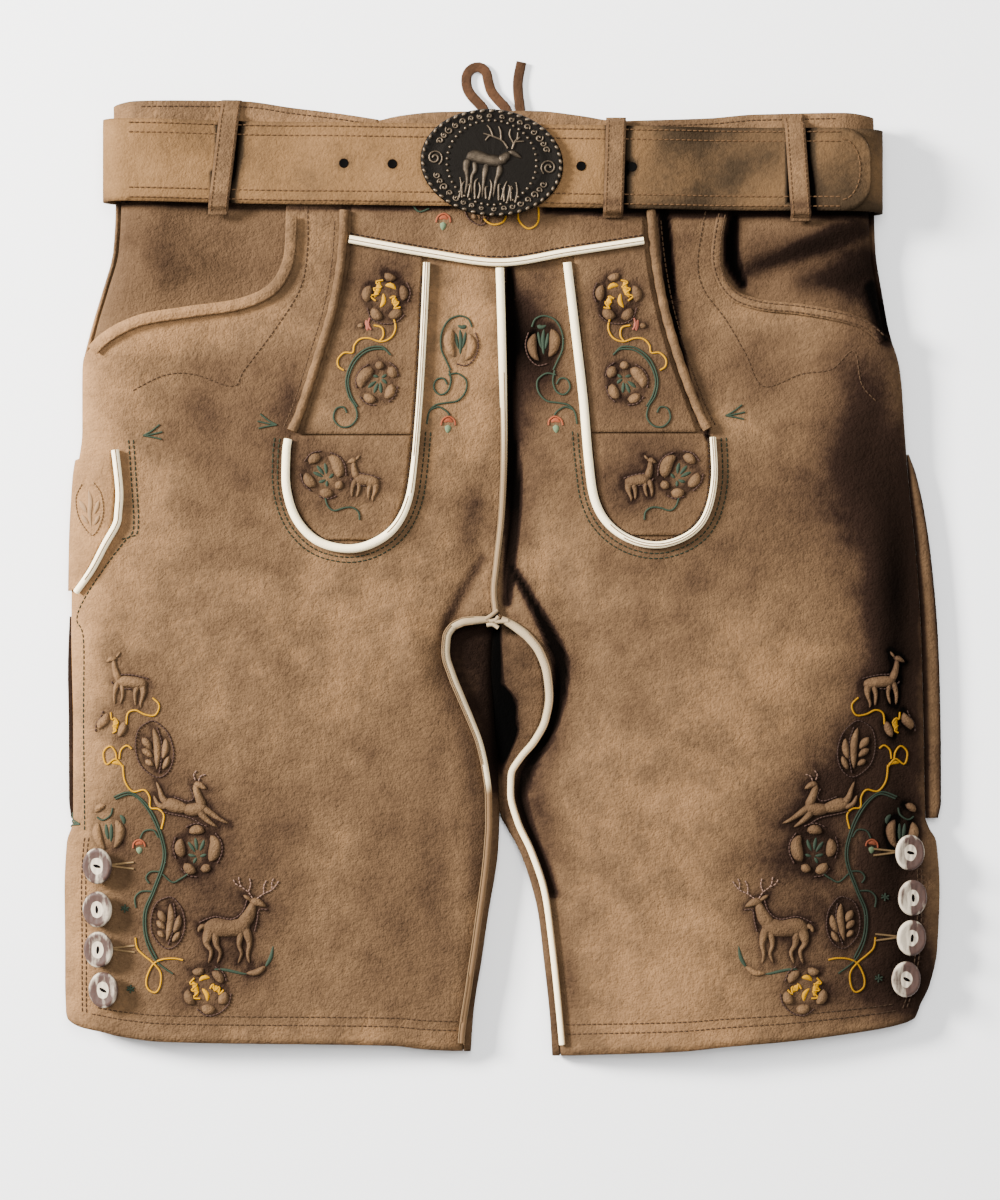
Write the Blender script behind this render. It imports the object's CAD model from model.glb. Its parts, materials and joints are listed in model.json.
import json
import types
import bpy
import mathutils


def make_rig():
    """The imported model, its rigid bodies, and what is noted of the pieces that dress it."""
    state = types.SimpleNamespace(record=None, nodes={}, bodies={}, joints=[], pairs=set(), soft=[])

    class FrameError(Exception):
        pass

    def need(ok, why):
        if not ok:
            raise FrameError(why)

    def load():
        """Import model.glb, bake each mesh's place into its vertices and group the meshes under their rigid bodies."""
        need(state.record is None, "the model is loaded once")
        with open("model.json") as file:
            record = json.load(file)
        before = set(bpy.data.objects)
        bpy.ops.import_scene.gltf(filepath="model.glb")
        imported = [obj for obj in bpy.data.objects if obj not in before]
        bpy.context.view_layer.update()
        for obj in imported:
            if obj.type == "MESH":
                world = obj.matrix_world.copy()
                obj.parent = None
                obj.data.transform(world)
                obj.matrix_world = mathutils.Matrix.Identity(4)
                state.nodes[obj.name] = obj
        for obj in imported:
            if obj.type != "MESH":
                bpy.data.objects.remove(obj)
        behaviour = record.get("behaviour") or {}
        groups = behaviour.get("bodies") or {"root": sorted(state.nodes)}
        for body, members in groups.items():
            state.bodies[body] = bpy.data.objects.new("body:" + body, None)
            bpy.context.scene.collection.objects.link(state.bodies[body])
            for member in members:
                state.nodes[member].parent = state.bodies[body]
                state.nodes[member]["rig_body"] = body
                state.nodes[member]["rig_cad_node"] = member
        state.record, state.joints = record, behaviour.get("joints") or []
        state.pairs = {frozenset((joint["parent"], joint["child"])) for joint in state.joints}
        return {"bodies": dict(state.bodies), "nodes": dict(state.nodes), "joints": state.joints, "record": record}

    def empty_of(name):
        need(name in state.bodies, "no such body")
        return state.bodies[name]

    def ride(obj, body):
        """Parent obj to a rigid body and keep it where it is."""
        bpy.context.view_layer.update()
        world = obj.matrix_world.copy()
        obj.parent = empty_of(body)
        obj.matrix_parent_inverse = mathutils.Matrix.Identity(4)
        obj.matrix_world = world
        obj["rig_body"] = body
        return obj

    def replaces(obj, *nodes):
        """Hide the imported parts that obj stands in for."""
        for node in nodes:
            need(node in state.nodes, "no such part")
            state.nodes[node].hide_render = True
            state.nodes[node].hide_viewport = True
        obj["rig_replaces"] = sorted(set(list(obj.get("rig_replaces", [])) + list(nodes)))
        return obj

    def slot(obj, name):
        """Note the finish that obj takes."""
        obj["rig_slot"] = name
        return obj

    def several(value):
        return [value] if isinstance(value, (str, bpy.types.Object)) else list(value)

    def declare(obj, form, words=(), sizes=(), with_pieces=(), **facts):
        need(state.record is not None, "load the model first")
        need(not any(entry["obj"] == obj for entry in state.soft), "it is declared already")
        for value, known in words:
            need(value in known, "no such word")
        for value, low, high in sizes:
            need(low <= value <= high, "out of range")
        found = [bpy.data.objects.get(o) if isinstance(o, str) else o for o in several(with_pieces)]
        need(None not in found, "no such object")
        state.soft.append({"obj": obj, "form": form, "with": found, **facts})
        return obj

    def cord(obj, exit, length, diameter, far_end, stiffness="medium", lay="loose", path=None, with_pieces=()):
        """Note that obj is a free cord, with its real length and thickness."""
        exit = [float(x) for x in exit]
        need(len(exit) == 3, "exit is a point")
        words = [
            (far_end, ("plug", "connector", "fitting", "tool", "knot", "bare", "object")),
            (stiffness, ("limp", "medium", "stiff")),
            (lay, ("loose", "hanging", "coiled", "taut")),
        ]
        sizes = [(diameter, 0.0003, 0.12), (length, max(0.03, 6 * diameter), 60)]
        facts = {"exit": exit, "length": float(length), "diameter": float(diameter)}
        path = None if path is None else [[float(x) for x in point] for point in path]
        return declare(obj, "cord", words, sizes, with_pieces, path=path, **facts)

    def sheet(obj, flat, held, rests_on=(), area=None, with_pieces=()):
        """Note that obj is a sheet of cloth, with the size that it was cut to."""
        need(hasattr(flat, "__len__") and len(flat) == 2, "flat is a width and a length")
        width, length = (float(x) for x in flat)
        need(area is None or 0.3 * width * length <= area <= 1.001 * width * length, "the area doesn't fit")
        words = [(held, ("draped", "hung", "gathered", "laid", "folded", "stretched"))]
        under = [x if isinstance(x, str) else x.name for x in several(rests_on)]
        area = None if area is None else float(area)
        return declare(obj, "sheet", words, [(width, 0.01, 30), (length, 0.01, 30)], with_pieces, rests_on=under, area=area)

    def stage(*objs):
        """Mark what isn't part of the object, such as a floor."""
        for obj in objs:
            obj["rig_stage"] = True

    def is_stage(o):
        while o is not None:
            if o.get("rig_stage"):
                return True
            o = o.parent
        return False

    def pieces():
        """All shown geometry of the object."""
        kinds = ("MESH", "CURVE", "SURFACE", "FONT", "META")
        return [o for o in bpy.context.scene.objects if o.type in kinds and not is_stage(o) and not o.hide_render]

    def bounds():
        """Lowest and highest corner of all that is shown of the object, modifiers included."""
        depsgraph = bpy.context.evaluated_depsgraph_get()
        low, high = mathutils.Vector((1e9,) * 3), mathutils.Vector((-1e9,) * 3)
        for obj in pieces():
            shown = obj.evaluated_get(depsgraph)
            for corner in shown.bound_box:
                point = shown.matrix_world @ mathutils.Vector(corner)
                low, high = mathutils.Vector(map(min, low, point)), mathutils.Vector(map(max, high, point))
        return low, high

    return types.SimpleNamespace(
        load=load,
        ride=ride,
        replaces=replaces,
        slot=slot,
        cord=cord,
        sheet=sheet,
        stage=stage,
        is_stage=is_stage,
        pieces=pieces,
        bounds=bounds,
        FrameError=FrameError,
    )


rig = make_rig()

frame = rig.load()

import json
import math
from collections import namedtuple

import bmesh
import bpy
import numpy as np
from bpy.props import FloatProperty, FloatVectorProperty, PointerProperty
from mathutils import Vector

bl_info = {
    "name": "Lederhosen Maker",
    "version": (1, 0, 0),
    "blender": (4, 5, 0),
    "location": "3D View > Sidebar > Lederhosen",
    "description": "Suede breeches laid flat, with drop flap, embroidery, horn buttons, belt and buckle",
    "category": "Add Mesh",
}

CAD_BOX = [list(corner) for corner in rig.bounds()]

# ---------------------------------------------------------------- sizes, in millimetres
MM = 0.001
LEFT, RIGHT = -1, 1
SIDES = ((LEFT, "left"), (RIGHT, "right"))
LEATHER = 1.8
THIN_LEATHER = 1.3
STRAP_LEATHER = 2.3
GAP = 0.35

HEM_CORNER_Y = -236.0
HEM_FADE = 60.0
PANEL_TOP_Y = 207.8
ROUND_WIDTH = 30.0
ROUND_SIDE_Z = 7.6
WAIST_ROUND_WIDTH = 20.0
WAIST_SIDE_Z = 8.5
SHOULDER_RISE = 5.5
SHOULDER_REACH = 34.0
SWELL_FULL_Y = 40.0
SWELL_NONE_Y = 150.0
SEAM_HALF_GAP = 1.05
INSEAM_DROP = 2.6
INSEAM_REACH = 12.0
FOLD_Z = 5.2
FOLD_ROUND = 6.0
TUCK = 3.4
# The share of the inner thigh's width that lies over the leg; the rest goes down round its fold.
THIGH_OVER = 5 / 8
THIGH_TOP_Y = -26.0
THIGH_GAP = 0.45
THIGH_DROP = 0.15
TUCK_START_Y = -36.0
UNDER_GAP = 1.7
BACK_ROUND = 12.0
# Between which levels the legs' fronts meet, the backs meet, and the thighs begin to touch.
CROTCH_Y = (-50, -14)
UNDER_LEG_Y = (-21, -5)
LEG_TOUCH_Y = (-146, -120)
LEG_TOUCH = 0.36
STAIN_RANGE = (-1.0, 2.0)


def rows(kind, *values):
    """A table's rows, each as a named tuple."""
    return [kind(*value) for value in values]


Half = namedtuple("Half", "y left right")
Point = namedtuple("Point", "x y")
Level = namedtuple("Level", "y height lift")
Swell = namedtuple("Swell", "share left right")
Crease = namedtuple("Crease", "x0 y0 x1 y1 rise width")
Blob = namedtuple("Blob", "x y reach_x reach_y dark")

SIDE_FOLD = rows(Half, (-236, -240.5, 228.5), (-222, -241, 235), (-203, -241, 239), (-170, -241.3, 240.3),
    (-144, -240, 238.5), (-132, -236.5, 232.5), (-83, -236.5, 231.5), (-28, -237.5, 230), (16, -237, 227),
    (55, -235, 223), (82, -231.5, 221), (115, -231.5, 218.5), (137, -227, 212.5), (159, -220.5, 208.5),
    (181, -214.5, 205), (206, -213, 204), (262, -214, 203.5))
FRONT_SEAM = rows(Half, (-262, -23.5, 38), (-250.8, -22.8, 34.1), (-233, -21.8, 31.4), (-214, -17.6, 28.4),
    (-194, -13.6, 25.3), (-170.5, -10, 21.5), (-149, -7.6, 14.3), (-132, -6.6, 6.6), (-117, -6.8, 3),
    (-107, -8, 3.3), (-98, -9.6, 8.2), (-88.6, -12, 16), (-77, -16.5, 22), (-64, -22, 24.2), (-51.7, -27, 23.1),
    (-40, -30.3, 19.2), (-31.4, -29.7, 12.7), (-25.3, -25.9, 5), (-21, -14, -1.5), (-17, -3.9, -3.1),
    (-5.5, -5.4, -4.6), (11, -3.7, -2.9), (38.5, -1, -0.2), (77, 0.2, 1), (132, -1, -0.2), (173, -2.1, -1.3),
    (262, -2.1, -1.3))
LEG_FOLD = rows(Half, (-262, -18.6, 33), (-247.5, -18.4, 28.4), (-225.5, -16.5, 26), (-203.5, -11.6, 22.4),
    (-181.5, -7.7, 19), (-159.5, -3.9, 13), (-148.5, -2.6, 8.8), (-137.5, -2.2, 2.8), (-128, -2.2, -1.6),
    (-115.5, -2.9, -2.3), (-99, -3.4, -2.8), (-82.5, -4.9, -4.3), (-66, -5.9, -5.3), (-49.5, -7, -6.4),
    (-35.8, -6.5, -5.9), (-22, -4.9, -4.3), (-5.5, -5.4, -4.6), (11, -3.7, -2.9), (77, 0.2, 1),
    (262, -2.1, -1.3))
LEVELS = rows(Level, (-262, 10.5, 0), (-200, 11.5, 0), (-120, 12, 0), (-45, 13.5, 0), (0, 12.5, 0), (80, 12, 0),
    (150, 13, 0), (175, 14, 1.2), (200, 16, 4.7), (262, 16.5, 4.7))
# How far each half swells from its inner seam (share 0) to its side (share 1), below the waist.
SWELLS = rows(Swell, (0, 0, 0), (0.1, 1.6, 2.6), (0.25, 3.4, 5.6), (0.45, 5.2, 7.4), (0.65, 6.6, 7.2),
    (0.85, 7.2, 5.6), (1, 6.6, 3.8))
HEM_LEFT = rows(Point, (-241, 0), (-239, -5.5), (-231, -9.5), (-221, -11.5), (-209, -14.3), (-187, -17),
    (-60, -19.8), (-44, -21.8), (-18, -23.5))
HEM_RIGHT = rows(Point, (28, -26), (44, -25), (97, -22.5), (123, -19.8), (156, -17), (180, -14.3), (200, -11.5),
    (216, -8.5), (226, -5), (229, 0))
MOUTH = {
    LEFT: rows(Point, (-118.8, 207.8), (-119.9, 181.5), (-123.5, 169), (-131.5, 160), (-147.4, 154),
        (-172.2, 150.2), (-199.7, 145), (-219, 135), (-231, 122)),
    RIGHT: rows(Point, (125, 207.8), (121, 187), (120.8, 172), (127.6, 159.5), (141.4, 154), (163.4, 151.3),
        (190.9, 145.8), (204.6, 139), (217, 126)),
}
CREASES = rows(Crease, (-55, -20, -42, -62, 2.4, 9), (-20, 5, -34, -60, -1.6, 7), (8, 15, 34, -62, 2.6, 10),
    (22, 20, 52, -40, -1.4, 8), (135, 178, 205, 200, 2.4, 9), (130, 168, 200, 178, -1.8, 7),
    (-150, 172, -205, 182, 1.8, 10), (-140, 185, -190, 196, -1.2, 8), (-170, 40, -120, -60, 1.2, 22),
    (60, 20, 150, -80, 1.2, 24), (-205, -40, -170, -190, -1, 20), (200, -20, 185, -190, -1, 20))
# Finer troughs and ridges, which the solids leave out.
SMALL_CREASES = rows(Crease, (-30, 42, -42, 2, 0.5, 5), (18, 60, 30, 8, 0.55, 5), (10, 34, 22, -12, -0.5, 3.5),
    (-12, 30, -16, -12, -0.5, 3), (40, -18, 62, -44, 0.5, 6), (-62, -30, -88, -58, 0.5, 7),
    (150, 196, 192, 188, -1.2, 4), (140, 186, 178, 172, 0.8, 4), (176, 170, 205, 158, -0.9, 5),
    (-128, 196, -170, 188, 0.7, 5), (-150, 196, -186, 201, -0.6, 4), (-170, 168, -212, 160, 0.7, 5),
    (-132, 170, -164, 176, -0.6, 4), (-226, 96, -206, 62, 0.5, 6), (210, 96, 196, 58, -0.5, 6),
    (-100, -20, -160, -14, 0.35, 8), (95, -10, 150, -4, 0.35, 8), (-45, -120, -70, -210, 0.4, 9),
    (60, -110, 80, -200, 0.4, 9), (-190, -100, -214, -120, 0.5, 5), (-130, -226, -60, -240, 0.35, 6),
    (70, -236, 130, -226, 0.35, 6), (-22, -95, -30, -140, 0.6, 5), (24, -120, 40, -165, 0.5, 6),
    (11, -3, 32, -46, -1.3, 4.5), (33, -44, 24, -88, -1.4, 4.5), (25, -86, 12, -116, -1.2, 4),
    (12, -122, 26, -156, -1, 4.5), (-11, 12, -33, -34, -0.9, 4))
# Where the hide has been stained darker (1) or rubbed paler (-1), by hand over the whole front.
STAINS = rows(Blob,
    # the waistband, the hips behind the pocket mouths, then the pocket edges
    (-140, 250, 90, 10, -0.35), (-165, 182, 44, 22, 0.2), (-205, 172, 16, 26, 0.1), (-134, 188, 14, 18, -0.5),
    (-150, 168, 16, 10, 0.3), (170, 180, 40, 20, 0.85), (196, 160, 20, 16, 0.75), (146, 198, 18, 8, -0.55),
    (168, 172, 18, 7, -0.45), (-185, 140, 40, 16, -0.95), (-150, 150, 30, 10, -0.4), (150, 146, 44, 10, -0.25),
    # left front, from its pale outer edge to the flap
    (-230, 90, 16, 60, -0.6), (-232, -40, 14, 120, -1.1), (-232, -190, 14, 60, -0.5), (-205, 60, 18, 60, -0.45),
    (-160, 76, 22, 38, 0.72), (-136, 60, 18, 34, 0.3), (-118, 92, 12, 44, 0.8), (-103, 190, 14, 26, -0.25),
    (-170, 8, 60, 24, -0.1), (-100, -10, 40, 20, -0.2), (-120, -60, 60, 30, -0.05), (-178, -50, 30, 40, -0.2),
    (-78, -100, 40, 40, 0.15), (-120, -140, 16, 44, 0.55), (-60, -170, 20, 60, 0.55),
    (-36, -150, 12, 100, 0.55), (-130, -225, 44, 16, 0.2), (-90, -220, 34, 24, 0.1), (-200, -246, 50, 6, 0.1),
    (-60, -250, 60, 7, -0.3), (84, -248, 70, 8, -0.3),
    # round the embroidery of the left leg
    (-192, -66, 22, 24, 0.4), (-184, -104, 26, 32, 0.5), (-160, -142, 34, 36, 0.55), (-178, -192, 34, 40, 0.45),
    (-142, -204, 26, 30, 0.35), (-206, -158, 16, 44, 0.45), (-150, -172, 14, 18, 0.2),
    # the flap and the panel between its tongues
    (-66, 168, 26, 18, 0.5), (-66, 120, 24, 50, 0.3), (-84, 56, 26, 30, 0.22), (68, 118, 26, 60, 0.45),
    (56, 150, 10, 50, 0.4), (84, 58, 28, 34, 0.55), (60, 40, 14, 24, 0.3), (-18, 130, 16, 50, -0.75),
    (-24, 80, 18, 26, -0.3), (14, 138, 16, 36, 1.15), (24, 108, 14, 26, 0.6), (20, 70, 20, 26, 0.1),
    (0, 200, 70, 10, 0.2), (52, 196, 30, 14, 0.25),
    # right front, falling away into shade at its outer edge
    (100, 130, 14, 60, 0.4), (140, 120, 26, 24, 0.6), (132, 86, 16, 14, -0.4), (136, 44, 22, 22, 0.5),
    (166, 40, 26, 40, 0.5), (186, 80, 22, 56, 0.7), (204, 60, 20, 76, 0.95), (220, 20, 14, 70, 0.7),
    (220, -100, 16, 116, 1.15), (208, -20, 16, 44, 0.7), (228, -210, 12, 40, 0.8), (196, 120, 20, 16, 0.25),
    (120, 10, 40, 20, 0.3), (90, -20, 30, 30, 0.1), (60, -40, 30, 40, 0.1), (120, -60, 60, 40, -0.25),
    (90, -150, 50, 60, -0.35), (130, -220, 60, 30, -0.5), (60, -200, 30, 50, -0.15), (150, -60, 30, 30, -0.3),
    (40, -215, 10, 40, 0.45),
    # round the embroidery of the right leg
    (196, -66, 20, 24, 0.6), (186, -104, 24, 30, 0.8), (162, -140, 32, 36, 0.85), (180, -192, 32, 40, 0.7),
    (146, -204, 26, 30, 0.5), (208, -160, 16, 50, 0.9), (188, -226, 30, 16, 0.6), (214, -222, 22, 26, 0.7),
    (140, -176, 14, 26, 0.3))
# Narrow shaded folds, darkest in the middle: rise is how dark.
SHADED_FOLDS = rows(Crease, (3.5, 168, 4.6, 120, 1, 5), (5, 124, 5, 44, 0.5, 5), (-14, 58, -21, 10, 0.95, 8),
    (-150, 196, -130, 166, 0.35, 8), (-196, 188, -176, 158, 0.4, 9))

# Deep folds: a route with the half width at each row, its darkness, and how softly its sides fade.
DeepFold = namedtuple("DeepFold", "dark soft path")
DEEP_FOLDS = rows(DeepFold,
    (2.2, 2.4, [(4, 8, 0.3), (11.6, -4.6, 0.7), (19.4, -18.5, 1.2), (26.8, -33, 2.2), (31.4, -45, 2.6),
     (31.2, -60, 2.4), (28, -75, 2), (22.4, -88, 2), (15.8, -99, 1.6)]),
    (2, 3.4, [(17.6, -94, 1.6), (12.6, -106, 1.6), (9.8, -118, 1), (12.2, -130, 0.7), (17, -143, 0.4),
     (22.4, -156, 0.2), (27.6, -172, 0.1)]),
    (0.4, 4, [(22.4, -154, 0.3), (28.4, -178, 0.3), (34, -205, 0.2), (38, -232, 0.1)]),
    (0.8, 9, [(33, -48, 0.5), (26, -86, 1), (18, -112, 2), (24, -146, 1)]),
    (1, 3, [(-11, 12, 0.2), (-22, -6, 0.8), (-30.5, -22, 0.8), (-33, -36, 0.4)]),
    (0.75, 7, [(-32, -38, 0.5), (-26, -62, 1.5), (-18, -92, 1.5), (-13, -126, 1), (-15, -170, 0.5)]),
    (1.9, 2.2, [(3.4, 170, 0.1), (4.2, 142, 0.7), (4.2, 108, 0.7), (4.6, 82, 1.1), (5.8, 60, 2.4), (6, 44, 3),
     (5, 26, 2.2), (3.8, 10, 1.6), (2.4, -12, 0.7)]),
    (0.5, 8, [(7, 150, 0.6), (8, 100, 0.8), (10, 58, 2), (8, 26, 1)]),
    # beside the right welt, inside the right pocket's mouth and under the belt
    (2.2, 1.1, [(87.8, 204, 2.2), (90.6, 172, 2.2), (93.4, 142, 2), (98.6, 118, 1.2), (105.6, 96, 0.7),
     (112.4, 78, 0.3)]), (2.2, 2.2, [(126.8, 200, 1), (125.2, 186, 1.8), (126.4, 174, 2), (131.6, 163, 0.6)]),
    (1.2, 1.7, [(-212, 206.6, 0.2), (-120, 204.2, 0.6), (-30, 204, 0.6)]),
    (1.6, 2, [(24, 203, 0.6), (110, 201.4, 1.2), (204, 200.6, 1.2)]),
    # folds across the right hip
    (0.8, 6, [(134, 170, 0.1), (156, 178, 0.3), (180, 188, 1.2), (201, 195, 1.6)]),
    (0.55, 8, [(166, 164, 0.1), (186, 168, 1.6), (206, 178, 3)]),
    (1.8, 4.5, [(203, 160, 0.2), (207.5, 148, 1.4), (211, 134, 0.6)]))


# ---------------------------------------------------------------- the garment's surface
def smooth_table(pairs):
    """A curve through (key, value) pairs that never overshoots them, flat past both ends."""
    pairs = sorted(pairs)
    keys = np.array([key for key, _ in pairs], float)
    values = np.array([value for _, value in pairs], float)
    span = np.diff(keys)
    steps = np.diff(values) / span
    slopes = np.zeros(len(keys))
    slopes[0], slopes[-1] = steps[0], steps[-1]
    same = steps[:-1] * steps[1:] > 0
    total = np.where(same, steps[:-1] + steps[1:], 1.0)
    slopes[1:-1] = np.where(same, 2 * steps[:-1] * steps[1:] / total, 0.0)

    def value_at(key):
        key = np.clip(np.asarray(key, float), keys[0], keys[-1])
        i = np.clip(np.searchsorted(keys, key, side="right") - 1, 0, len(span) - 1)
        t = (key - keys[i]) / span[i]
        rise = values[i] * (1 + 2 * t) * (1 - t) ** 2 + values[i + 1] * t * t * (3 - 2 * t)
        return rise + span[i] * (slopes[i] * t * (1 - t) ** 2 - slopes[i + 1] * t * t * (1 - t))

    return value_at


def by_side(table):
    """A curve for each side, from rows whose first value is the key."""
    return {side: smooth_table([(row[0], getattr(row, word)) for row in table]) for side, word in SIDES}


side_fold = by_side(SIDE_FOLD)
front_seam = by_side(FRONT_SEAM)
leg_fold = by_side(LEG_FOLD)
level_height = smooth_table([(row.y, row.height) for row in LEVELS])
level_lift = smooth_table([(row.y, row.lift) for row in LEVELS])
swell_rise = by_side(SWELLS)
hem_drop = {LEFT: smooth_table(HEM_LEFT), RIGHT: smooth_table(HEM_RIGHT)}
mouth_x = {side: smooth_table([(p.y, p.x) for p in MOUTH[side]]) for side in MOUTH}


def ease(start, end, value):
    t = np.clip((np.asarray(value, float) - start) / (end - start), 0, 1)
    return t * t * (3 - 2 * t)


def bell(value, middle, reach):
    """1 at the middle, falling away smoothly over the reach."""
    return np.exp(-(((value - middle) / reach) ** 2))


def hem_shift(side, x, row):
    """How far the curved hem pulls a row of the panel down at x."""
    fade = np.maximum(0.0, 1 - (row - HEM_CORNER_Y) / HEM_FADE)
    return hem_drop[side](x) * fade * fade


def row_at(side, x, y):
    """The panel's row that passes through the point (x, y)."""
    row = np.maximum(y, HEM_CORNER_Y)
    for _ in range(8):
        row = np.maximum(y - hem_shift(side, x, row), HEM_CORNER_Y)
    return row


def crease_sum(creases, x, y):
    total = np.zeros(np.broadcast(x, y).shape)
    for crease in creases:
        dx, dy = crease.x1 - crease.x0, crease.y1 - crease.y0
        near = np.clip(((x - crease.x0) * dx + (y - crease.y0) * dy) / (dx * dx + dy * dy), 0, 1)
        off = np.hypot(x - crease.x0 - near * dx, y - crease.y0 - near * dy)
        total += crease.rise * bell(off, 0, crease.width) * (0.4 + 0.6 * np.sin(np.pi * near))
    return total


def slow_waves(x, y):
    """The hide's own soft unevenness, a few tenths of a millimetre."""
    return (0.22 * np.sin(x / 17.0 + 1.7 * np.sin(y / 41.0)) * np.sin(y / 23.0 + 0.8)
            + 0.12 * np.sin(x / 7.3 + y / 11.9) * np.sin(y / 8.7 - x / 19.0 + 2.1))


def at_waist(row):
    """0 on the legs, rising to 1 at the waist, where the garment is flatter."""
    return ease(SWELL_FULL_Y, SWELL_NONE_Y, row)


def round_width(row):
    """Width of the rounded side of a section."""
    return ROUND_WIDTH + (WAIST_ROUND_WIDTH - ROUND_WIDTH) * at_waist(row)


def top_height(side, x, y, row):
    """Height of the front's outer face over the flat part of a section, before the side rounds away."""
    before_round = side * (side_fold[side](row) - x) - round_width(row)
    from_seam = side * (x - front_seam[side](row))
    height = level_height(y) + crease_sum(CREASES, x, y) + crease_sum(SMALL_CREASES, x, y) + slow_waves(x, y)
    shoulder = SHOULDER_RISE * bell(np.maximum(0.0, before_round), 0, SHOULDER_REACH)
    share = np.maximum(0.0, from_seam) / np.maximum(1.0, from_seam + before_round)
    swell = swell_rise[side](np.minimum(1.0, share))
    height = height + swell + (shoulder - swell) * at_waist(row)
    open_leg = 1 - ease(*CROTCH_Y, row)
    near_seam = np.maximum(0.0, 1 - np.maximum(0.0, from_seam) / INSEAM_REACH)
    return height - INSEAM_DROP * open_leg * near_seam * near_seam


def side_height(row):
    return ROUND_SIDE_Z + (WAIST_SIDE_Z - ROUND_SIDE_Z) * at_waist(row) + 0.5 * level_lift(row)


def section_length(side, row):
    width = side * (side_fold[side](row) - front_seam[side](row))
    return width + round_width(row) * (np.pi / 2 - 1)


def front_point(side, row, along, lift=0.0):
    """Points of the front's outer face: along is measured from the seam out and down the side."""
    row, along = np.broadcast_arrays(np.asarray(row, float), np.asarray(along, float))
    seam, fold, width = front_seam[side](row), side_fold[side](row), round_width(row)
    flat = side * (fold - seam) - width
    angle = np.maximum(0.0, along - flat) / width
    reach = np.minimum(along, flat) + width * np.sin(angle)
    x = seam + side * reach
    y = row + hem_shift(side, x, row)
    top = top_height(side, x, y, row)
    low = side_height(row) + SEAM_HALF_GAP
    z = low + (top - low) * np.cos(angle)
    lean = np.sin(angle) * (top - low) / width
    size = np.hypot(lean, np.cos(angle))
    return np.stack([x + side * lean / size * lift, y, z + np.cos(angle) / size * lift], -1)


def along_of(side, row, x):
    """The measure along a section at which the front lies over x."""
    seam, fold, width = front_seam[side](row), side_fold[side](row), round_width(row)
    flat = side * (fold - seam) - width
    reach = side * (x - seam)
    past = np.clip((reach - flat) / width, 0, 1)
    return np.where(reach <= flat, reach, flat + width * np.arcsin(past))


def on_front(x, y, lift=0.0):
    """Points on the front's outer face over (x, y), moved out by lift."""
    x, y, lift = np.broadcast_arrays(np.asarray(x, float), np.asarray(y, float), np.asarray(lift, float))
    found = np.zeros(x.shape + (3,))
    leftward = x < front_seam[LEFT](y) + 0.4
    for side, chosen in ((LEFT, leftward), (RIGHT, ~leftward)):
        if chosen.any():
            row = row_at(side, x[chosen], y[chosen])
            found[chosen] = front_point(side, row, along_of(side, row, x[chosen]), lift[chosen])
    return found


def back_point(side, row, along_share):
    """Points of the back's outer face, from its inner edge along the floor and up the side."""
    row, share = np.broadcast_arrays(np.asarray(row, float), np.asarray(along_share, float))
    fold = side_fold[side](row)
    under_leg = 1 - ease(*UNDER_LEG_Y, row)
    inner = leg_fold[side](row) + side * under_leg * (FOLD_ROUND + UNDER_GAP)
    lift = level_lift(row)
    flat = side * (fold - inner) - BACK_ROUND
    along = share * (flat + BACK_ROUND * np.pi / 2)
    angle = np.maximum(0.0, along - flat) / BACK_ROUND
    x = inner + side * (np.minimum(along, flat) + BACK_ROUND * np.sin(angle))
    top = side_height(row) - SEAM_HALF_GAP
    z = lift + (top - lift) * (1 - np.cos(angle))
    return np.stack([x, row + hem_shift(side, x, row), z], -1)


def thigh_point(side, row, share):
    """The inner thigh: share 0 at the inseam, over the leg's inside, and 1 where it meets the floor."""
    row, share = np.broadcast_arrays(np.asarray(row, float), np.asarray(share, float))
    fold = leg_fold[side](row) - side * LEG_TOUCH * ease(*LEG_TOUCH_Y, row)
    seam = front_seam[side](np.minimum(row, THIGH_TOP_Y)) - side * THIGH_GAP
    tucked = TUCK * ease(TUCK_START_Y, THIGH_TOP_Y, row)
    seam_z = top_height(side, seam, row, row) - THIGH_DROP - tucked
    up = np.pi / 2 * (1 - np.minimum(share, THIGH_OVER) / THIGH_OVER)
    down = np.pi / 2 * (np.maximum(share, THIGH_OVER) - THIGH_OVER) / (1 - THIGH_OVER)
    over = share < THIGH_OVER
    x = fold + np.where(over, (seam - fold) * (1 - np.cos(up)), side * FOLD_ROUND * (1 - np.cos(down)))
    z = np.where(over, FOLD_Z + (seam_z - FOLD_Z) * np.sin(up), FOLD_Z * (1 - np.sin(down)))
    return np.stack([x, row + hem_shift(side, x, row), z], -1)


def deep_folds(x, y):
    """The shade in the deep folds, which don't add up where they meet."""
    x, y = np.broadcast_arrays(np.asarray(x, float), np.asarray(y, float))
    total = np.zeros(x.shape)
    for fold in DEEP_FOLDS:
        line = route(fold.path, int(route_length(fold.path) / 1.5))
        margin = 2.5 * fold.soft + line[:, 2].max()
        inside = ((x > line[:, 0].min() - margin) & (x < line[:, 0].max() + margin)
                  & (y > line[:, 1].min() - margin) & (y < line[:, 1].max() + margin))
        gaps = np.hypot(x[inside][:, None] - line[:, 0], y[inside][:, None] - line[:, 1])
        near = np.maximum(0.0, (gaps - line[:, 2]).min(1)) if gaps.size else np.zeros(0)
        total[inside] = np.maximum(total[inside], fold.dark * bell(near, 0, fold.soft))
    return total


def stain_at(x, y):
    """How dark the hide is at a place, from about -1 to 1."""
    total = deep_folds(x, y)
    for blob in STAINS:
        total += blob.dark * np.exp(-(((x - blob.x) / blob.reach_x) ** 2 + ((y - blob.y) / blob.reach_y) ** 2))
    return np.clip(total + crease_sum(SHADED_FOLDS, x, y), *STAIN_RANGE)


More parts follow.
